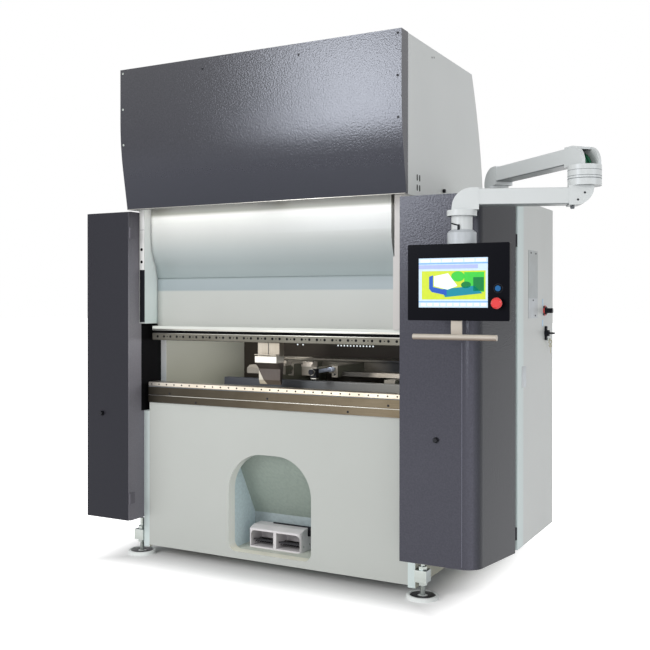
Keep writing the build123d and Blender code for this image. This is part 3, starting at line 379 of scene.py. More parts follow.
MATERIALS = {
    "hood": powder_coat("hood_coat", HOOD_PAINTED_SHADE, 0.17, 0.008, 0.45, 0.22, specular=0.58),
    # The cover lighter where it turns halfway to the side, painted light, and near black where it faces the
    # side, painted shade.
    "cover": powder_coat(
        "cover_coat", (68, 67, 76), 0.2, 0.008, 0.45, 0.18, specular=0.32,
        turned=[("X", 0.1, 0.5, (80, 79, 89)), ("X", 0.6, 0.95, (14, 14, 20))],
    ),
    # Where the cabinets face sideways they take their wall's painted light and shade.
    "cabinet": powder_coat(
        "cabinet_coat", (36, 35, 41), 0.42, 0.005, 0.4, 0.1, specular=0.22,
        turned=[("X", 0.4, 0.9, CABINET_WALL_PAINTED_LIGHT)],
    ),
    "inner_dark": powder_coat("inner_dark", (78, 71, 63), 0.6, 0.004, 0.35, 0.1, specular=0.25),
    "rear_coat": powder_coat(
        "rear_coat", (78, 71, 63), 0.5, 0.004, 0.3, 0.06, specular=0.25,
        turned=[("Y", 0.3, 0.9, (200, 203, 199))],
    ),
    "frame_white": powder_coat(
        "frame_coat", FRAME_PAINTED_LIGHT, 0.42, 0.0035, 0.18, 0.02, turned=[("X", 0.4, 0.9, WALL_PAINTED_LIGHT)],
    ),
    "jaw_white": powder_coat("jaw_coat", (236, 236, 234), 0.42, 0.0035, 0.12, 0.02),
    "hood_white": powder_coat("hood_side_coat", HOOD_SIDE_PAINTED_LIGHT, 0.42, 0.0035, 0.15, 0.02),
    # The enclosure paler where it faces the front, on its rounded front corner: a painted highlight.
    "enclosure_white": powder_coat(
        "enclosure_coat", ENCLOSURE_PAINTED_LIGHT, 0.42, 0.0035, 0.18, 0.02,
        turned=[("Y", -0.15, -0.55, (220, 236, 234))],
    ),
    "door_white": powder_coat("door_coat", DOOR_PAINTED_HIGHLIGHT, 0.42, 0.0035, 0.18, 0.02),
    # The bed plate nearly white where its cut edges face the side and up: a painted highlight.
    "bed_white": powder_coat(
        "bed_coat", (191, 194, 189), 0.45, 0.0035, 0.18, 0.02, cloud=0.02,
        turned=[("X", 0.3, 0.8, (252, 254, 248)), ("Z", 0.3, 0.8, (255, 252, 236))],
    ),
    "ram_white": powder_coat("ram_coat", RAM_COVER_PAINTED_LIGHT, 0.3, 0.003, 0.08, 0.01),
    "ledge_white": powder_coat("ledge_coat", (222, 225, 218), 0.36, 0.003, 0.1, 0.01),
    "post_white": powder_coat("post_coat", (200, 196, 192), 0.36, 0.003, 0.1, 0.01),
    # The pedal recess darker where it faces down, painted shade, and paler on its side walls and upward
    # faces, painted light.
    "recess_white": powder_coat(
        "recess_coat", (168, 180, 182), 0.5, 0.016, 1.0, 0.1,
        turned=[
            ("Z", -0.2, -0.5, (156, 168, 158)),
            ("X", 0.4, 0.9, (222, 240, 246)),
            ("Z", 0.5, 0.9, (222, 226, 214)),
        ],
    ),
    # The arm darker where it faces down: painted shade.
    "arm_white": powder_coat(
        "arm_coat", (210, 214, 214), 0.35, 0.003, 0.1, 0.01,
        turned=[("Z", -0.2, -0.8, (104, 110, 110))],
    ),
    # The coupling is the arm's white made darker: painted shade.
    "coupling_shaded_white": powder_coat("coupling_coat", (186, 191, 195), 0.35, 0.003, 0.1, 0.01),
    "table_steel": ground_steel("table_steel", TABLE_PAINTED_SHADE, 0.36, "X", 0.1, 0.85),
    "rail_steel": ground_steel("rail_steel", DIE_RAIL_PAINTED_SHADE, 0.3, "X", 0.05, 0.8),
    "clamp_steel": ground_steel("clamp_steel", (106, 104, 96), 0.4, "X", 0.08, 0.9),
    "punch_steel": ground_steel("punch_steel", PUNCH_PAINTED_LIGHT, 0.34, "Z", 0.06, 0.6),
    # The gauge arms darker where they face the side: painted shade.
    "gauge_steel": ground_steel(
        "gauge_steel", (150, 144, 132), 0.42, "Y", 0.1, 0.2,
        turned=[("X", 0.4, 0.9, (110, 109, 96))],
    ),
    # The beam paler where it faces up: painted light.
    "beam_steel": ground_steel(
        "beam_steel", BEAM_PAINTED_SHADE, 0.45, "X", 0.1, 0.2, turned=[("Z", 0.4, 0.9, (150, 143, 130))],
    ),
    "guide_steel": ground_steel("guide_steel", GUIDE_PAINTED_SHADE, 0.4, "X", 0.08, 0.4),
    "gauge_pale": ground_steel("gauge_pale", (205, 196, 184), 0.32, "X", 0.06, 0.6),
    "support_grey": powder_coat("support_coat", SUPPORT_PAINTED_SHADE, 0.45, 0.004, 0.2, 0.05),
    # The chromed rod drawn in a bluish white for what it reflects: painted reflection.
    "rod_steel": ground_steel("rod_steel", (196, 206, 226), 0.3, "Y", 0.02, 0.25),
    "bright": ground_steel("bright_steel", (205, 203, 196), 0.3, "X", 0.06),
    "zinc": ground_steel("zinc_plate", (188, 194, 190), 0.32, "X", 0.06, 0.85),
    "pad_white": powder_coat("foot_pad_coat", (236, 240, 238), 0.4, 0.004, 0.15, 0.03),
    "key_steel": ground_steel("key_steel", (196, 192, 174), 0.35, "Z", 0.06),
    "plate": ground_steel("bare_plate", PLATE_SHADE, 0.42, "Z", 0.03, 0.3),
    "blue_plate": ground_steel("pale_blue_plate", (176, 204, 226), 0.4, "Z", 0.03, 0.2),
    # A pale line along the right cover's bend: a painted highlight.
    "bend_highlight": moulded("bend_highlight_grey", (122, 122, 136), 0.4, bump=0.05),
    "hinges": powder_coat("hinge_coat", HINGE_PAINTED_LIGHT, 0.45, 0.004, 0.2, 0.05, specular=0.25),
    # A pale patch on the front of the punch's blade.
    "blade_patch": ground_steel("blade_patch_steel", (196, 190, 176), 0.35, "X", 0.05, 0.5),
    "dark_screw": moulded("dark_screw", (34, 33, 36), 0.4, bump=0.05, specular=0.3),
    # Holes, slots, gaps and shaded spots drawn as flat black marks: painted shade.
    "hole": moulded("hole_painted_shade", (14, 13, 13), 0.7, bump=0.05, specular=0.1),
    "black": moulded("black_plastic", (20, 20, 24), 0.42, specular=0.2),
    "bezel": moulded("bezel_black", (10, 10, 15), 0.3, grain=0.0008, bump=0.06, specular=0.05),
    "bezel_edge": moulded("bezel_edge", (58, 58, 66), 0.35, bump=0.05, specular=0.3),
    "pedal_white": moulded("pedal_white", (226, 222, 224), 0.42),
    "pedal_black": moulded("pedal_black", (32, 30, 30), 0.5, grain=0.003, bump=0.5, specular=0.3),
    # The handle darker underneath: painted shade.
    "handle": moulded(
        "handle_beige", (196, 187, 174), 0.4, bump=0.05,
        turned=[("Z", 0.1, -0.7, (128, 112, 98))],
    ),
    "red": moulded("stop_red", (226, 38, 34), 0.3, bump=0.03, coat=0.3),
    # The stop button's rim drawn in a pale red: a painted highlight.
    "red_rim_highlight": moulded("stop_rim", (240, 132, 128), 0.35, bump=0.03),
    "blue": moulded("start_blue", (10, 96, 156), 0.3, bump=0.03, specular=0.3),
    "red_base": moulded("selector_red", (196, 52, 44), 0.4),
    "cable_black": moulded("cable_black", (16, 22, 20), 0.5, specular=0.2),
    "cable_green": moulded("cable_green", (22, 96, 62), 0.45, specular=0.3),
    "groove": moulded("groove_grey", (112, 116, 120), 0.6, specular=0.2),
    "lamp": glowing("lamp_diffuser", (255, 254, 250), 5.4),
    "screen": glowing("screen_field", (206, 228, 248), 1.0),
    "screen_white": glowing("screen_white", (244, 252, 255), 1.0),
    "screen_sky": glowing("screen_sky", (132, 182, 232), 1.0),
    "screen_violet": glowing("screen_violet", (178, 190, 236), 1.0),
    "screen_lime": glowing("screen_lime", (206, 224, 60), 1.0),
    "screen_green": glowing("screen_green", (70, 206, 72), 1.0),
    "screen_pine": glowing("screen_pine", (22, 128, 62), 1.0),
    "screen_teal": glowing("screen_teal", (28, 140, 160), 1.0),
    "screen_blue": glowing("screen_blue", (44, 92, 190), 1.0),
}

NODE_FINISH = {
    "c_frame_left": "frame_white",
    "c_frame_right": "frame_white",
    "bed_front_plate": "bed_white",
    "bed_core": "inner_dark",
    "table_rail": "table_steel",
    "die_rail": "rail_steel",
    "pedal_recess": "recess_white",
    "pedal_housing": "pedal_white",
    "pedal_bar": "black",
    "pedal_left": "pedal_black",
    "pedal_right": "pedal_black",
    "foot_pads": "pad_white",
    "foot_brackets": "zinc",
    "rear_panel": "rear_coat",
    "hood_front_cover": "hood",
    "hood_lamps": "lamp",
    "hood_sides": "hood_white",
    "hood_roof": "hood_white",
    "jaw_strip_pale": "jaw_white",
    "jaw_strip_dark": "black",
    "left_cabinet": "cabinet",
    "left_door": "cabinet",
    "left_latch": "black",
    "right_cabinet": "cabinet",
    "right_cover": "cover",
    "right_latch": "black",
    "side_enclosure": "enclosure_white",
    "side_door": "door_white",
    "door_hinges": "hinges",
    "side_plate": "plate",
    "selector_switch": "black",
    "main_switch": "black",
    "table_support": "support_grey",
    "cross_beam": "support_grey",
    "gauge_rails": "gauge_steel",
    "gauge_beam": "beam_steel",
    "gauge_arms": "gauge_steel",
    "gauge_guide": "guide_steel",
    "gauge_carriers": "gauge_steel",
    "gauge_fingers": "gauge_pale",
    "ram_beam": "inner_dark",
    "ram_cover": "ram_white",
    "ram_ledge": "ledge_white",
    "ram_post": "post_white",
    "clamp_rail": "clamp_steel",
    "punch": "punch_steel",
    "arm_pedestal": "arm_white",
    "upper_arm_tube": "arm_white",
    "upper_arm_brackets": "arm_white",
    "lower_arm_tube": "arm_white",
    "lower_arm_brackets": "arm_white",
    "panel_coupling": "coupling_shaded_white",
    "panel_housing": "bezel",
    "panel_screen": "screen",
    "panel_handle": "handle",
    "stop_button": "red",
    "blue_button": "blue",
}


def dress_nodes():
    """Give every CAD node its finish."""
    for name, finish in NODE_FINISH.items():
        mesh = NODES[name].data
        mesh.materials.clear()
        mesh.materials.append(MATERIALS[finish])


# Mesh tools

SHARP_ANGLE = radians(35)
LEFT, RIGHT = Vector((-1, 0, 0)), Vector((1, 0, 0))
FRONT, BACK = Vector((0, -1, 0)), Vector((0, 1, 0))
DOWN, UP = Vector((0, 0, -1)), Vector((0, 0, 1))
# Turned profiles as (radius, height) pairs: the first three in shares of the radius, the rest in
# millimetres.
SCREW = [(0, 0.1), (0.42, 0.1), (0.46, 0.5), (0.78, 0.5), (1, 0.28), (1, 0)]
BUTTON = [(0, 0.6), (0.7, 0.6), (1, 0.3), (1, 0)]
HOLE = [(0, 0.03), (0.94, 0.03), (1, 0)]
KNOB = [(0, 14), (8, 14), (10, 11), (10, 3), (7, 0)]
LATCH_CORE = [(0, 0.6), (4.5, 0.6), (5.5, 2), (8.5, 2), (9.5, 0)]
SELECTOR_RING = [(22, 7), (25, 7), (27, 5), (27, 0)]
LOCK = [(0, 9), (7, 9), (9, 7), (9, 2), (12, 2), (12, 0)]
PLUG = [(0, 12), (7, 12), (9, 9), (9, 0)]
START_RING = [(17, 1.5), (19.5, 1.5), (20.5, 0), (17, 0)]
STOP_RIM = [(15.5, 11.8), (17, 12.6), (20.5, 10.6), (23.4, 7.2), (23.4, 5.5), (22, 5.5)]
WASHER_HEIGHT = 3


def finish_piece(name, bm, finish, body):
    """Make a mesh drawn in machine millimetres a piece that rides a body."""
    for vert in bm.verts:
        vert.co = at(*vert.co)
    bmesh.ops.recalc_face_normals(bm, faces=bm.faces)
    for face in bm.faces:
        face.smooth = True
    for edge in bm.edges:
        if len(edge.link_faces) == 2 and edge.calc_face_angle() > SHARP_ANGLE:
            edge.smooth = False
    mesh = bpy.data.meshes.new(name)
    bm.to_mesh(mesh)
    bm.free()
    mesh.materials.append(MATERIALS[finish])
    piece = bpy.data.objects.new(name, mesh)
    bpy.context.scene.collection.objects.link(piece)
    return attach(piece, body)


def add_box(bm, low, high, chamfer=0.0):
    """A box between two corners, its edges rounded by the chamfer."""
    verts = bmesh.ops.create_cube(bm, size=1)["verts"]
    for vert in verts:
        vert.co = Vector([(a + b) / 2 + c * (b - a) for a, b, c in zip(low, high, vert.co)])
    if chamfer:
        edges = list({edge for vert in verts for edge in vert.link_edges})
        bmesh.ops.bevel(bm, geom=edges, offset=chamfer, segments=2, affect="EDGES", profile=0.5)


def add_lathe(bm, origin, axis, profile, scale=1.0, segments=20):
    """A turned solid from (radius, height) pairs, from its top to its foot, along an axis."""
    turn = UP.rotation_difference(Vector(axis)).to_matrix()
    rings = []
    for radius, height in profile:
        count = segments if radius > 0 else 1
        angles = [2 * pi * k / count for k in range(count)]
        spots = [Vector((radius * cos(a), radius * sin(a), height)) * scale for a in angles]
        rings.append([bm.verts.new(Vector(origin) + turn @ spot) for spot in spots])
    for first, second in zip(rings, rings[1:]):
        for k in range(segments):
            corners = [first[k % len(first)], first[(k + 1) % len(first)]]
            corners += [second[(k + 1) % len(second)], second[k % len(second)]]
            bm.faces.new(list(dict.fromkeys(corners)))


def add_rod(bm, start, end, radius, segments=12):
    """A round bar with slightly eased ends between two points."""
    start, end = Vector(start), Vector(end)
    length = (end - start).length
    ease = min(0.25 * radius, length / 4)
    profile = [(0, length), (radius - ease, length), (radius, length - ease), (radius, ease)]
    profile += [(radius - ease, 0), (0, 0)]
    add_lathe(bm, start, (end - start).normalized(), profile, segments=segments)


def add_cable(bm, points, radius):
    """A round cable along a path, its joints rounded by balls of the same size."""
    for start, end in zip(points, points[1:]):
        add_rod(bm, start, end, radius)
        bmesh.ops.create_uvsphere(
            bm, u_segments=12, v_segments=8, radius=radius, matrix=Matrix.Translation(end)
        )


def add_plate(bm, outline, place, thickness):
    """A flat plate: an outline in a plane, given by a function to space, and its thickness."""
    low = [bm.verts.new(place(u, v, 0)) for u, v in outline]
    high = [bm.verts.new(place(u, v, thickness)) for u, v in outline]
    bm.faces.new(low)
    bm.faces.new(high)
    for k in range(len(outline)):
        after = (k + 1) % len(outline)
        bm.faces.new((low[k], low[after], high[after], high[k]))


def washer(inner, outer):
    """A flat ring's closed profile."""
    top = WASHER_HEIGHT
    return [(inner, top), (outer, top), (outer, 0), (inner, 0), (inner, top)]


def box_piece(name, finish, body, low, high, chamfer=0.0):
    """A piece that is one small bar, plate or strip."""
    bm = bmesh.new()
    add_box(bm, low, high, chamfer)
    finish_piece(name, bm, finish, body)


def turned_piece(name, finish, body, origin, axis, profile, segments=20):
    """A piece that is one turned fitting."""
    bm = bmesh.new()
    add_lathe(bm, origin, axis, profile, segments=segments)
    finish_piece(name, bm, finish, body)


def turned_row(name, finish, body, axis, profile, radius, spots):
    """One piece of like turned fittings, such as screws or holes, at several spots."""
    bm = bmesh.new()
    for spot in spots:
        add_lathe(bm, spot, axis, profile, scale=radius, segments=16)
    finish_piece(name, bm, finish, body)


# Hood

HOOD = machine_box("hood_front_cover")
HOOD_SIDE = machine_box("hood_sides")[1].x
HOOD_ARC_TOP = 2369
HOOD_ARC_RADIUS = 1500
HOOD_SCREW_X = 804
HOOD_SCREW_HEIGHTS = (2632, 2439, 2249)


def hood_face(z):
    """The front of the hood's sheet at a height on its flat or in its bend."""
    return HOOD[0].y + max(0, HOOD_ARC_TOP - z) ** 2 / (2 * HOOD_ARC_RADIUS)


def hood_screw_row(x):
    """Spots for the screws down one end of the hood's front."""
    return [(x, hood_face(z), z) for z in HOOD_SCREW_HEIGHTS]


def add_slot(bm, y, z, half, radius):
    """A round-ended slot's dark face on the hood's side."""
    steps = 8
    outline = []
    for centre, start in ((half, 0), (-half, pi)):
        for k in range(steps + 1):
            angle = start + pi * k / steps
            outline.append((radius * cos(angle), centre + radius * sin(angle)))
    add_plate(bm, outline, lambda u, v, w: Vector((HOOD_SIDE + w, y + u, z + v)), 0.4)


def dress_hood():
    """Screws, the bright cut edge, and the slots, knob and holes on the hood's side."""
    radius = 6
    top = [(x, HOOD[0].y, 2597) for x in (-283, 283)]
    # The left screws are zinc-coloured for the glint on them, a painted highlight; the others are dark.
    turned_row("hood_screws_left", "zinc", "frame", FRONT, SCREW, radius, hood_screw_row(-HOOD_SCREW_X))
    right = hood_screw_row(HOOD_SCREW_X) + top
    turned_row("hood_screws_right", "dark_screw", "frame", FRONT, SCREW, radius, right)
    half, front, back = 818, -132.2, -129.5
    foot = HOOD[0].z
    box_piece("hood_edge", "bright", "frame", (-half, front, foot + 0.6), (half, back, foot + 3), 0.5)
    bm = bmesh.new()
    for y in (9.6, 40.8):
        for z in (1995, 1947):
            add_slot(bm, y, z, half=9, radius=6.5)
    finish_piece("hood_slots", bm, "hole", "frame")
    turned_piece("hood_knob", "black", "frame", (HOOD_SIDE, 351.5, 1967), RIGHT, KNOB)
    holes = [(HOOD_SIDE, y, z) for y, z in ((199, 2608), (226, 2614))]
    turned_row("hood_holes", "hole", "frame", RIGHT, HOLE, 5, holes)


# Ram, clamp and table

CLAMP = machine_box("clamp_rail")
CLAMP_FACE = CLAMP[0].y
CLAMP_HOLE_PITCH = 43.75
CLAMP_MIDDLE_HOLE = 10
CLAMP_HOLE_Z = 1214
CLAMP_END = 8
TABLE = machine_box("table_rail")
DIE = machine_box("die_rail")


def clamp_spots(steps):
    """Spots on the clamp rail, so many pitches from its middle hole."""
    places = [CLAMP_MIDDLE_HOLE + CLAMP_HOLE_PITCH * k for k in steps]
    return [(x, CLAMP_FACE, CLAMP_HOLE_Z) for x in places if abs(x) < CLAMP[1].x - CLAMP_END]


def front_strip(name, finish, body, box, bottom, top, proud, chamfer):
    """A thin strip along a box's front face, 1 mm deep in it and proud by a little."""
    low, high = box
    box_piece(name, finish, body, (low.x + 1, low.y - proud, bottom), (high.x - 1, low.y + 1, top), chamfer)


def dress_ram():
    """The clamp rail's holes, the gap and bright edges above it, and the jaw's holes and seam."""
    span = range(-17, 18)
    between = [k + 0.5 for k in span if k % 2 == 0]
    turned_row("clamp_holes", "hole", "ram", FRONT, HOLE, 7, clamp_spots(span))
    turned_row("clamp_pins", "hole", "ram", FRONT, HOLE, 3.5, clamp_spots(between))
    left, right = CLAMP[0].x + 2, CLAMP[1].x - 2
    front, back = CLAMP_FACE + 14, CLAMP_FACE + 18
    # A dark strip in the gap above the clamp rail: painted shadow.
    box_piece("clamp_gap_shade", "hole", "ram", (left, front, 1232.5), (right, back, 1247), 0.4)
    front_strip("clamp_bright_edge", "bright", "ram", CLAMP, 1229.5, 1232.3, 0.4, 0.3)
    front_strip("ledge_bright_edge", "bright", "ram", CLAMP, 1249, 1256, 0.6, 0.5)
    low, high = machine_box("jaw_strip_pale")
    turned_row("jaw_holes", "hole", "frame", FRONT, HOLE, 8.5, [(-793.7, low.y, z) for z in (1693, 1625)])
    seam = 1800
    box_piece("jaw_seam", "groove", "frame", (low.x, low.y - 0.2, seam), (high.x, low.y + 1, seam + 2), 0.2)


def dress_table():
    """The die rail's clamp screws, the table's screws, and two fine lines along its face."""
    pitch, screw_z = 51, 951
    row = [(x, DIE[0].y, screw_z) for x in range(-755, 770, pitch)]
    turned_row("die_rail_screws", "dark_screw", "frame", FRONT, SCREW, 4.2, row)
    places = ((-631, 902), (-456, 861), (-4, 906), (460, 864), (677, 906))
    heads = [(x, TABLE[0].y, z) for x, z in places]
    turned_row("table_screws", "dark_screw", "frame", FRONT, SCREW, 5.5, heads)
    front_strip("table_bright_line", "bright", "frame", TABLE, 888.5, 891.5, 0.6, 0.4)
    front_strip("die_rail_shade", "groove", "frame", TABLE, 935.5, 939.5, 0.3, 0.3)


BLADE_TOP, BLADE_KNEE, BLADE_TIP = 1048, 998, 975
BLADE_Y = 47.5
BLADE_SLOPE = 0.38


def blade_place(u, v, w):
    """A spot just in front of the blade: its X, its height and its distance from the steel."""
    return Vector((u, BLADE_Y + BLADE_SLOPE * max(0, BLADE_KNEE - v) - 0.1 - w, v))


def dress_punch():
    """The seam in the punch's shank and a pale patch on the front of its blade."""
    low, high = machine_box("punch")
    seam = (low.x + high.x) / 2
    box_piece("punch_seam", "groove", "ram", (seam - 0.7, 34.4, 1124), (seam + 0.7, 37, 1190), 0.2)
    edge = low.x + 0.5
    knee = (edge + 28, BLADE_KNEE)
    bm = bmesh.new()
    add_plate(bm, [(edge, BLADE_TOP), (edge, BLADE_KNEE), knee], blade_place, 0.3)
    add_plate(bm, [(edge, BLADE_KNEE), (edge, BLADE_TIP), (edge + 46, BLADE_TIP), knee], blade_place, 0.3)
    finish_piece("punch_blade_patch", bm, "blade_patch", "ram")


# Cabinets, enclosure and side door

DOOR_FACE = machine_box("side_door")[1].x
COVER_FRONT = machine_box("right_cover")[0].y
LOCK_Y, LOCK_Z = 844, 1207


def dress_latch(side, body):
    """The round core and the slotted bar in a latch."""
    low, high = machine_box(side + "_latch")
    x, z = (low.x + high.x) / 2, (low.z + high.z) / 2
    bm = bmesh.new()
    add_lathe(bm, (x, low.y, z), FRONT, LATCH_CORE)
    add_box(bm, (x - 3.5, low.y - 2.4, z - 1), (x + 3.5, low.y, z + 1), 0.2)
    finish_piece(side + "_latch_core", bm, "dark_screw", body)


def dress_cabinets():
    """The pale line along the cover's bend, a painted highlight; the latches' cores; and a dark sheet on
    the left cabinet's wall, painted shade.
    """
    bend_highlight, top, bottom, front = 1093, 1222, 215, COVER_FRONT
    start, end = (bend_highlight - 0.9, front - 0.4, bottom), (bend_highlight + 0.9, front + 1, top)
    box_piece("cover_bend_highlight", "bend_highlight", "frame", start, end, 0.2)
    dress_latch("left", "left_door")
    dress_latch("right", "frame")
    wall = machine_box("left_cabinet")[1].x
    # A dark sheet on the wall where it lies in shade: painted shade.
    box_piece("throat_shade", "hole", "frame", (wall + 0.1, -25, 802), (wall + 0.35, 210, 1286))


def dress_side_door():
    """Rivets, the flush latch, two pale plates and the selector's red base."""
    face = DOOR_FACE
    plate_face = machine_box("side_plate")[1].x
    rivets = [(plate_face, y, z) for y, z in ((609, 1652), (520, 1652), (559, 1414), (600, 1336))]
    turned_row("plate_rivets", "dark_screw", "side_door", RIGHT, BUTTON, 4.5, rivets)
    box_piece("flush_latch", "plate", "side_door", (face, 362, 985), (face + 0.6, 440, 1090), 0.3)
    bm = bmesh.new()
    for z in (1403, 1295):
        add_box(bm, (face, 740, z - 18), (face + 1.2, 758, z + 18), 0.4)
    finish_piece("switch_plates", bm, "blue_plate", "side_door")
    low, high = machine_box("selector_switch")
    spot = (face, (low.y + high.y) / 2, (low.z + high.z) / 2)
    turned_piece("selector_ring", "red_base", "side_door", spot, RIGHT, SELECTOR_RING, 32)


def dress_lock():
    """The lock's cylinder, and in it a key with its split ring and tag."""
    face, y, z = DOOR_FACE, LOCK_Y, LOCK_Z
    turned_piece("lock_cylinder", "zinc", "side_door", (face, y, z), RIGHT, LOCK, 24)
    bm = bmesh.new()
    add_box(bm, (face + 9, y - 1.2, z - 4), (face + 20, y + 1.2, z + 4), 0.5)
    add_lathe(bm, (face + 17, y - 1.5, z - 14), BACK, washer(5, 11), segments=24)
    add_box(bm, (face + 15, y - 1, z - 74), (face + 19, y + 1, z - 26), 0.5)
    add_lathe(bm, (face + 17, y - 1.5, z - 34), BACK, washer(4, 9), segments=20)
    finish_piece("door_key", bm, "key_steel", "side_door")


# Control arm

ELBOW = Vector((1627, -110, 0))
ARM_BASE = Vector((1095, 362, 0))
HANG = Vector((1150, -295, 0))
ELBOW_RADIUS = 70
HANG_RADIUS = 45
SEAL_RADIUS = 62


def arm_place(pivot, toward):
    """A function from a point along, across and above a pivot's arm to space."""
    along = (toward - pivot).normalized()
    across = UP.cross(along)
    return lambda u, v, w: pivot + along * u + across * v + UP * w


def add_ring(bm, centre, radius, thickness, height):
    """A flat band round a vertical axis."""
    inner, outer = radius - 1, radius + thickness
    profile = [(inner, height), (outer, height), (outer, 0), (inner, 0), (inner, height)]
    add_lathe(bm, centre, UP, profile, segments=48)


def dress_elbow_discs():
    """The grooves between the elbow's stacked discs."""
    proud = 0.5
    bm = bmesh.new()
    for z, height in ((1932, 1.8), (1957, 1.5)):
        add_ring(bm, ELBOW + UP * z, ELBOW_RADIUS, proud, height)
    finish_piece("elbow_grooves_upper", bm, "groove", "upper_arm")
    bm = bmesh.new()
    add_ring(bm, ELBOW + UP * 1920.5, ELBOW_RADIUS, proud, 2.4)
    finish_piece("elbow_groove_lower", bm, "groove", "lower_arm")


def dress_elbow_inside():
    """Dark sheets inside the open elbow, painted shade, with the cables in it and the screws on top."""
    inside = arm_place(ELBOW, ARM_BASE)
    half, floor, roof = 32.6, 1979.4, 2048
    front, back = 52.5, -36
    wall = [(-half, floor), (half, floor), (half, roof), (-half, roof)]
    base = [(back, -half), (52, -half), (52, half), (back, half)]
    bm = bmesh.new()
    add_plate(bm, wall, lambda u, v, w: inside(front + w, u, v), 1.2)
    add_plate(bm, base, lambda u, v, w: inside(u, v, floor + w), 1.0)
    finish_piece("elbow_inside_shade", bm, "cable_black", "upper_arm")
    bm = bmesh.new()
    for across in (-20, 0, 19):
        path = [(52, 2032), (28, 2028), (6, 2012), (-6, 1994), (-8, 1981)]
        add_cable(bm, [inside(u, across, w) for u, w in path], 8.5)
    finish_piece("elbow_cables", bm, "cable_green", "upper_arm")
    spots = [inside(12, across, 2055) for across in (40, -40)]
    turned_row("elbow_screws", "dark_screw", "upper_arm", UP, BUTTON, 4.5, spots)


def dress_lower_elbow():
    """Screws on the front of the lower elbow and the plug below it."""
    elbow = arm_place(ELBOW, HANG)
    side = elbow(0, 1, 0) - elbow(0, 0, 0)
    facing = side if side.y < 0 else -side
    spots = [elbow(u, 0, w) + facing * 47 for u, w in ((6, 1861), (34, 1832))]
    turned_row("lower_elbow_screws", "dark_screw", "lower_arm", facing, BUTTON, 4.5, spots)
    turned_piece("lower_elbow_plug", "groove", "lower_arm", elbow(50, 0, 1810), DOWN, PLUG)


def dress_swivel():
    """The bent lever of the panel's swivel and the seal on its coupling."""
    reach = HANG_RADIUS + 2.5
    start_angle, angle_step, drop = -142, 8.5, 1.8
    path = []
    for k in range(7):
        angle = radians(start_angle + angle_step * k)
        path.append(HANG + Vector((reach * cos(angle), reach * sin(angle), 1741 - drop * k)))
    bm = bmesh.new()
    for start, end in zip(path, path[1:]):
        add_rod(bm, start, end, 2.8)
    tip = path[-1]
    add_box(bm, (tip.x - 2, tip.y - 4, tip.z - 22), (tip.x + 8, tip.y + 2.5, tip.z + 3), 1.2)
    finish_piece("swivel_lever", bm, "cable_black", "lower_arm")
    bm = bmesh.new()
    add_ring(bm, HANG + UP * 1652, SEAL_RADIUS, -1.5, 11)
    finish_piece("coupling_seal", bm, "groove", "control_panel")


# Control panel

SCREEN = machine_box("panel_screen")
HOUSING = machine_box("panel_housing")
PICTURE_STEP = 0.25


def screen_place(layer):
    """A function from a place on the screen, from its lower left, to space."""
    x, y, z = SCREEN[0]
    return lambda u, v, w: Vector((x + u, y - PICTURE_STEP * layer - w, z + v))


def screen_piece(name, finish, layer, outlines):
    """Flat patches of one colour on the screen."""
    bm = bmesh.new()
    for outline in outlines:
        add_plate(bm, outline, screen_place(layer), PICTURE_STEP)
    finish_piece("screen_" + name, bm, finish, "control_panel")


def tile(u, v, width, height):
    """A rectangle on the screen."""
    return [(u, v), (u + width, v), (u + width, v + height), (u, v + height)]


def oval(u, v, half_width, half_height):
    """An ellipse on the screen."""
    steps = 40
    angles = [2 * pi * k / steps for k in range(steps)]
    return [(u + half_width * cos(a), v + half_height * sin(a)) for a in angles]


def dress_screen():
    """A generic drawing program: bars, tabs and a stepped bracket over a field."""
    top = SCREEN[1].z - SCREEN[0].z
    width = SCREEN[1].x - SCREEN[0].x
    tabs = [tile(8 + 50 * k, top - 17, 42, 12) for k in range(6)]
    keys = [tile(10 + 30 * k, 7, 22, 12) for k in range(10)]
    bracket = [(48, 132), (66, 138), (66, 88), (128, 74), (128, 52), (60, 66), (48, 80)]
    bracket_face = [(70, 134), (134, 146), (176, 92), (132, 76), (70, 92)]
    screen_piece("bars", "screen_sky", 0, [tile(0, top - 26, width, 6), tile(0, 22, width, 5)])
    screen_piece("toolbar", "screen_violet", 0, [tile(0, top - 46, width * 0.86, 17)])
    screen_piece("tabs", "screen_white", 0, tabs + keys)
    screen_piece("field", "screen_lime", 0, [tile(14, 34, width - 24, 122)])
    screen_piece("glow", "screen_green", 1, [oval(178, 132, 30, 22), tile(206, 66, 88, 84)])
    screen_piece("dark", "screen_pine", 2, [tile(246, 70, 46, 58), oval(214, 96, 22, 14)])
    screen_piece("floor", "screen_teal", 2, [[(120, 44), (286, 60), (252, 92), (104, 78)]])
    screen_piece("bracket", "screen_blue", 3, [bracket])
    screen_piece("bracket_face", "screen_white", 3, [bracket_face])


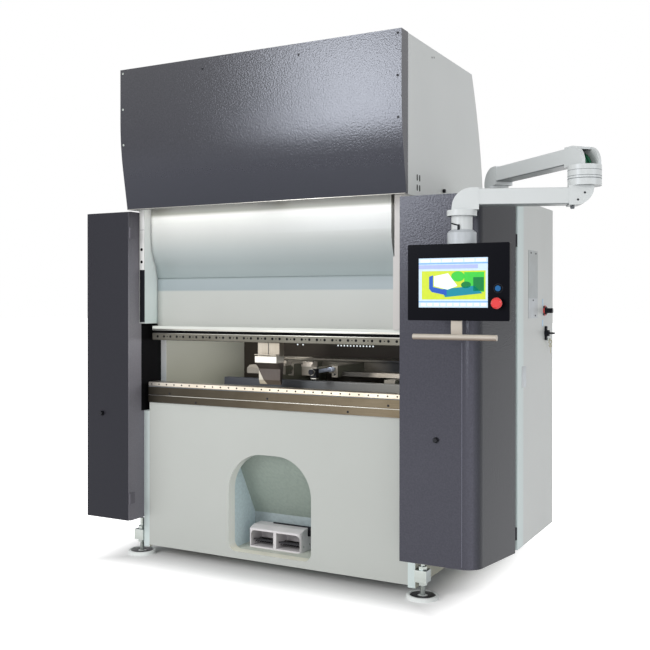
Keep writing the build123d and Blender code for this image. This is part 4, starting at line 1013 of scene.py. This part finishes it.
def dress_panel():
    """The rings of both buttons, and the screws and vents on the panel's back."""
    stop_low, stop_high = machine_box("stop_button")
    blue_low, blue_high = machine_box("blue_button")
    x = (stop_low.x + stop_high.x) / 2
    spot = (x, SCREEN[0].y - 2, (blue_low.z + blue_high.z) / 2)
    turned_piece("start_ring", "black", "control_panel", spot, FRONT, START_RING, 36)
    spot = (x, stop_high.y - 29, (stop_low.z + stop_high.z) / 2)
    turned_piece("stop_rim", "red_rim_highlight", "stop_button", spot, FRONT, STOP_RIM, 36)
    low, high = HOUSING
    spots = [(x, high.y, z) for x in (low.x + 80, high.x - 80) for z in (low.z + 30, high.z - 30)]
    turned_row("panel_back_screws", "zinc", "control_panel", BACK, SCREW, 5, spots)
    vents, pitch, slot = 9, 18, 8
    bm = bmesh.new()
    for k in range(vents):
        z = low.z + 90 + pitch * k
        add_box(bm, (low.x + 150, high.y - 0.5, z), (high.x - 150, high.y + 1.5, z + slot), 0.6)
    finish_piece("panel_back_vents", bm, "bezel_edge", "control_panel")


# Backgauge

ROD_X, ROD_Z = 210, 1045


def dress_gauge():
    """Screws on the gauge's arms and fingers."""
    low = machine_box("gauge_arms")[0]
    finger_low, finger_high = machine_box("gauge_fingers")
    spots = [(x + dx, finger_low.y + 41, finger_high.z) for x in (-48, 112) for dx in (-18, 18)]
    turned_row("finger_screws", "dark_screw", "backgauge", UP, SCREW, 5, spots)
    spots = [(x, low.y, low.z + dz) for x in (-48, 222) for dz in (14, 46)]
    turned_row("arm_end_screws", "dark_screw", "backgauge", FRONT, SCREW, 5.5, spots)


def dress_gauge_rod():
    """The rod on the right arm, its black stop and the stop's bright caps."""
    y = machine_box("gauge_arms")[0].y
    rod = [(0, 192), (8, 192), (10, 190), (10, 40), (13, 38), (13, 0)]
    turned_piece("gauge_rod", "rod_steel", "backgauge", (ROD_X, y + 2, ROD_Z), FRONT, rod)
    bm = bmesh.new()
    add_box(bm, (ROD_X - 17, y - 218, ROD_Z - 30), (ROD_X + 17, y - 186, ROD_Z + 14), 2)
    add_lathe(bm, (ROD_X, y - 219, ROD_Z), FRONT, [(0, 26), (13, 26), (15, 24), (15, 0)])
    finish_piece("gauge_stop", bm, "black", "backgauge")
    bm = bmesh.new()
    add_lathe(bm, (ROD_X, y - 230, ROD_Z), FRONT, [(15, 5), (17, 5), (18, 3), (18, 1), (16, 0)])
    add_lathe(bm, (ROD_X, y - 202, ROD_Z - 30), DOWN, [(0, 8), (20, 8), (22, 6), (22, 2), (8, 0)])
    finish_piece("gauge_stop_caps", bm, "bright", "backgauge")


# Pedal, feet and rear

PEDAL_LIP = 10
RIB_HALF = 2.5


def slope_pedal(bm, low, high):
    """Lay ribs drawn flat at Z 0 on the pedal's sloping top."""
    tilt = (high.z - low.z - PEDAL_LIP) / (high.y - low.y)
    for vert in bm.verts:
        vert.co.z += low.z + PEDAL_LIP + tilt * (vert.co.y - low.y)


def dress_pedal():
    """Ribs on both pedals and screws in their housing."""
    ribs, margin = 9, 8
    for side in ("left", "right"):
        low, high = machine_box("pedal_" + side)
        bm = bmesh.new()
        step = (high.x - low.x - 2 * margin) / (ribs - 1)
        for k in range(ribs):
            x = low.x + margin + step * k
            add_box(bm, (x - RIB_HALF, low.y + 6, 0), (x + RIB_HALF, high.y - 30, 1), 0.3)
        slope_pedal(bm, low, high)
        finish_piece("pedal_ribs_" + side, bm, "pedal_black", "pedal_" + side)
    low, high = machine_box("pedal_housing")
    bm = bmesh.new()
    for x, axis in ((low.x, LEFT), (high.x, RIGHT)):
        for y in (150, 215):
            add_lathe(bm, (x, y, 120), axis, SCREW, scale=5, segments=16)
    finish_piece("pedal_housing_screws", bm, "zinc", "frame")


FOOT_RADIUS = 78
FOOT_STEM = 11


def dress_feet():
    """The thread on each foot's stem and the dark ring in its pad."""
    low, high = machine_box("foot_pads")
    threads = bmesh.new()
    rings = bmesh.new()
    turns, pitch, foot = 9, 5, 19
    root, crest = FOOT_STEM - 0.5, FOOT_STEM + 1.4
    thread = [(root, 4.2), (crest, 2.1), (root, 0), (root, 4.2)]
    ring = [(26, 2.5), (58, 2.5), (62, 0.3), (24, 0.3), (26, 2.5)]
    for x in (low.x + FOOT_RADIUS, high.x - FOOT_RADIUS):
        for y in (low.y + FOOT_RADIUS, high.y - FOOT_RADIUS):
            for k in range(turns):
                add_lathe(threads, (x, y, foot + pitch * k), UP, thread, segments=24)
            add_lathe(rings, (x, y, 12.9), UP, ring, segments=40)
    finish_piece("foot_threads", threads, "zinc", "frame")
    finish_piece("foot_rings", rings, "dark_screw", "frame")


def dress_rear():
    """The rear panel's row of small holes, glowing on its inner face as painted light, and the screws round
    it.
    """
    low, high = machine_box("rear_panel")
    radius, hole_z, pitch = 5, 1139, 21.5
    holes = [-378, -339] + [-93 + pitch * k for k in range(12)]
    inner = [(x, low.y, hole_z) for x in holes]
    outer = [(x, high.y, hole_z) for x in holes]
    # The holes glow white on the panel's inner face: painted light coming through them.
    turned_row("rear_light_holes", "screen_white", "frame", FRONT, HOLE, radius, inner)
    turned_row("rear_hole_rims", "hole", "frame", BACK, HOLE, radius, outer)
    bottom, top = 240, 1870
    spots = []
    for z in (bottom, 650, 1060, 1470, top):
        spots += [(low.x + 30, high.y, z), (high.x - 30, high.y, z)]
    for x in (-400, 0, 400):
        spots += [(x, high.y, bottom), (x, high.y, top)]
    turned_row("rear_panel_screws", "dark_screw", "frame", BACK, SCREW, 7, spots)


DETAILS = (
    dress_hood,
    dress_ram,
    dress_table,
    dress_punch,
    dress_cabinets,
    dress_side_door,
    dress_lock,
    dress_elbow_discs,
    dress_elbow_inside,
    dress_lower_elbow,
    dress_swivel,
    dress_screen,
    dress_panel,
    dress_gauge,
    dress_gauge_rod,
    dress_pedal,
    dress_feet,
    dress_rear,
)


# Studio

CAMERA_SPOT = at(2499.1, -4070.6, 1400)
CAMERA_PITCH = -0.213
CAMERA_YAW = 28.246
CAMERA_ROLL = 0.037
FOCAL_PIXELS = 924.8
PRINCIPAL_X = 322.2
PRINCIPAL_Y = 306.3
PICTURE = 650
SENSOR = 36.0
WORLD_LIGHT = 0.56
FLOOR_SIZE = 120
FLOOR_TONE = 0.84
# The floor shows its own shadow this far inside the frame's outline, and white this far outside.
FLOOR_NEAR = -0.03
FLOOR_FAR = 0.4
# Each lamp's name, place, aim, width, height and power. The last two light the bending gap.
LAMPS = (
    ("key", (-2.3, -6.0, 3.35), (0.1, -0.2, 1.5), 1.8, 2.6, 175),
    ("side", (6.5, -1.5, 3.2), (0.6, 0.0, 1.2), 2.6, 2.6, 70),
    ("fill", (2.6, -5.4, 1.5), (0.0, 0.0, 1.15), 1.2, 1.2, 30),
    ("gap_side", at(-130, 450, 1160), at(-776, 420, 1080), 0.6, 0.1, 1.6),
    ("gap_back", at(150, 190, 1180), at(150, 640, 1040), 1.0, 0.06, 0.9),
)


def add_camera():
    """The camera at the photograph's viewpoint."""
    data = bpy.data.cameras.new("camera")
    data.sensor_width = SENSOR
    data.lens = FOCAL_PIXELS * SENSOR / PICTURE
    data.shift_x = (PICTURE / 2 - PRINCIPAL_X) / PICTURE
    data.shift_y = (PRINCIPAL_Y - PICTURE / 2) / PICTURE
    data.clip_end = 200
    camera = bpy.data.objects.new("camera", data)
    camera.location = CAMERA_SPOT
    turn = Euler((radians(90 + CAMERA_PITCH), 0, radians(CAMERA_YAW))).to_matrix()
    roll = Matrix.Rotation(radians(CAMERA_ROLL), 3, "Z")
    camera.rotation_euler = (turn @ roll).to_euler()
    bpy.context.scene.collection.objects.link(camera)
    bpy.context.scene.camera = camera


def add_math(tree, operation, first, second):
    """One math step on a value and a value or number."""
    step = tree.nodes.new("ShaderNodeMath")
    step.operation = operation
    tree.links.new(first, step.inputs[0])
    if isinstance(second, (int, float)):
        step.inputs[1].default_value = second
    else:
        tree.links.new(second, step.inputs[1])
    return step.outputs["Value"]


def seen_direct(tree):
    """1 where a camera, glossy or transmission ray sees the surface, else 0."""
    path = tree.nodes.new("ShaderNodeLightPath")
    total = path.outputs["Is Camera Ray"]
    for name in ("Is Glossy Ray", "Is Transmission Ray"):
        total = add_math(tree, "MAXIMUM", total, path.outputs[name])
    return total


def add_world():
    """A soft grey dome for light that shows as white."""
    world = bpy.data.worlds.new("studio")
    bpy.context.scene.world = world
    world.use_nodes = True
    tree = world.node_tree
    background = tree.nodes["Background"]
    background.inputs["Color"].default_value = WHITE
    strength = add_span(tree, seen_direct(tree), 0.0, 1.0, start=WORLD_LIGHT)
    tree.links.new(strength, background.inputs["Strength"])


def outside_footprint(tree):
    """How far a spot of the floor lies outside the frame's outline, in metres."""
    place = tree.nodes.new("ShaderNodeTexCoord").outputs["Object"]
    axes = tree.nodes.new("ShaderNodeSeparateXYZ")
    tree.links.new(place, axes.inputs["Vector"])
    left, right = PLATE_LEFT[0].x, PLATE_RIGHT[1].x
    front, back = PLATE_LEFT[0].y, PLATE_LEFT[1].y
    gaps = []
    for axis, low, high in (("X", left, right), ("Y", front, back)):
        shifted = add_math(tree, "SUBTRACT", axes.outputs[axis], (low + high) / 2)
        reach = add_math(tree, "ABSOLUTE", shifted, 0)
        gaps.append(add_math(tree, "SUBTRACT", reach, (high - low) / 2))
    return add_math(tree, "MAXIMUM", *gaps)


def floor_material():
    """A pale floor that keeps the shadow near the machine and shows as white beyond it."""
    material = bpy.data.materials.new("floor_white")
    material.use_nodes = True
    tree = material.node_tree
    shader = tree.nodes["Principled BSDF"]
    shader.inputs["Base Color"].default_value = scaled(WHITE, FLOOR_TONE)
    shader.inputs["Roughness"].default_value = 0.9
    shader.inputs["Specular IOR Level"].default_value = 0.0
    shader.inputs["Emission Color"].default_value = WHITE
    far = add_span(tree, outside_footprint(tree), FLOOR_NEAR, FLOOR_FAR, interpolation="SMOOTHSTEP")
    lift = add_math(tree, "MULTIPLY", seen_direct(tree), far)
    tree.links.new(lift, shader.inputs["Emission Strength"])
    return material


def add_floor():
    """The floor, as a part of the stage."""
    bpy.ops.mesh.primitive_plane_add(size=FLOOR_SIZE, location=(0, 0, 0))
    floor = bpy.context.active_object
    floor.name = "floor"
    floor.data.materials.append(floor_material())


def add_area(name, spot, target, width, height, power):
    """A soft light box aimed at a point."""
    data = bpy.data.lights.new(name, "AREA")
    data.shape = "RECTANGLE"
    data.size = width
    data.size_y = height
    data.energy = power
    lamp = bpy.data.objects.new(name, data)
    lamp.location = spot
    lamp.visible_camera = False
    lamp.rotation_euler = (Vector(target) - Vector(spot)).to_track_quat("-Z", "Y").to_euler()
    bpy.context.scene.collection.objects.link(lamp)


def add_studio():
    """World, floor, lights and view transform."""
    add_world()
    add_floor()
    for lamp in LAMPS:
        add_area(*lamp)
    bpy.context.scene.view_settings.view_transform = "Standard"


dress_nodes()
for dress in DETAILS:
    dress()
add_camera()
add_studio()
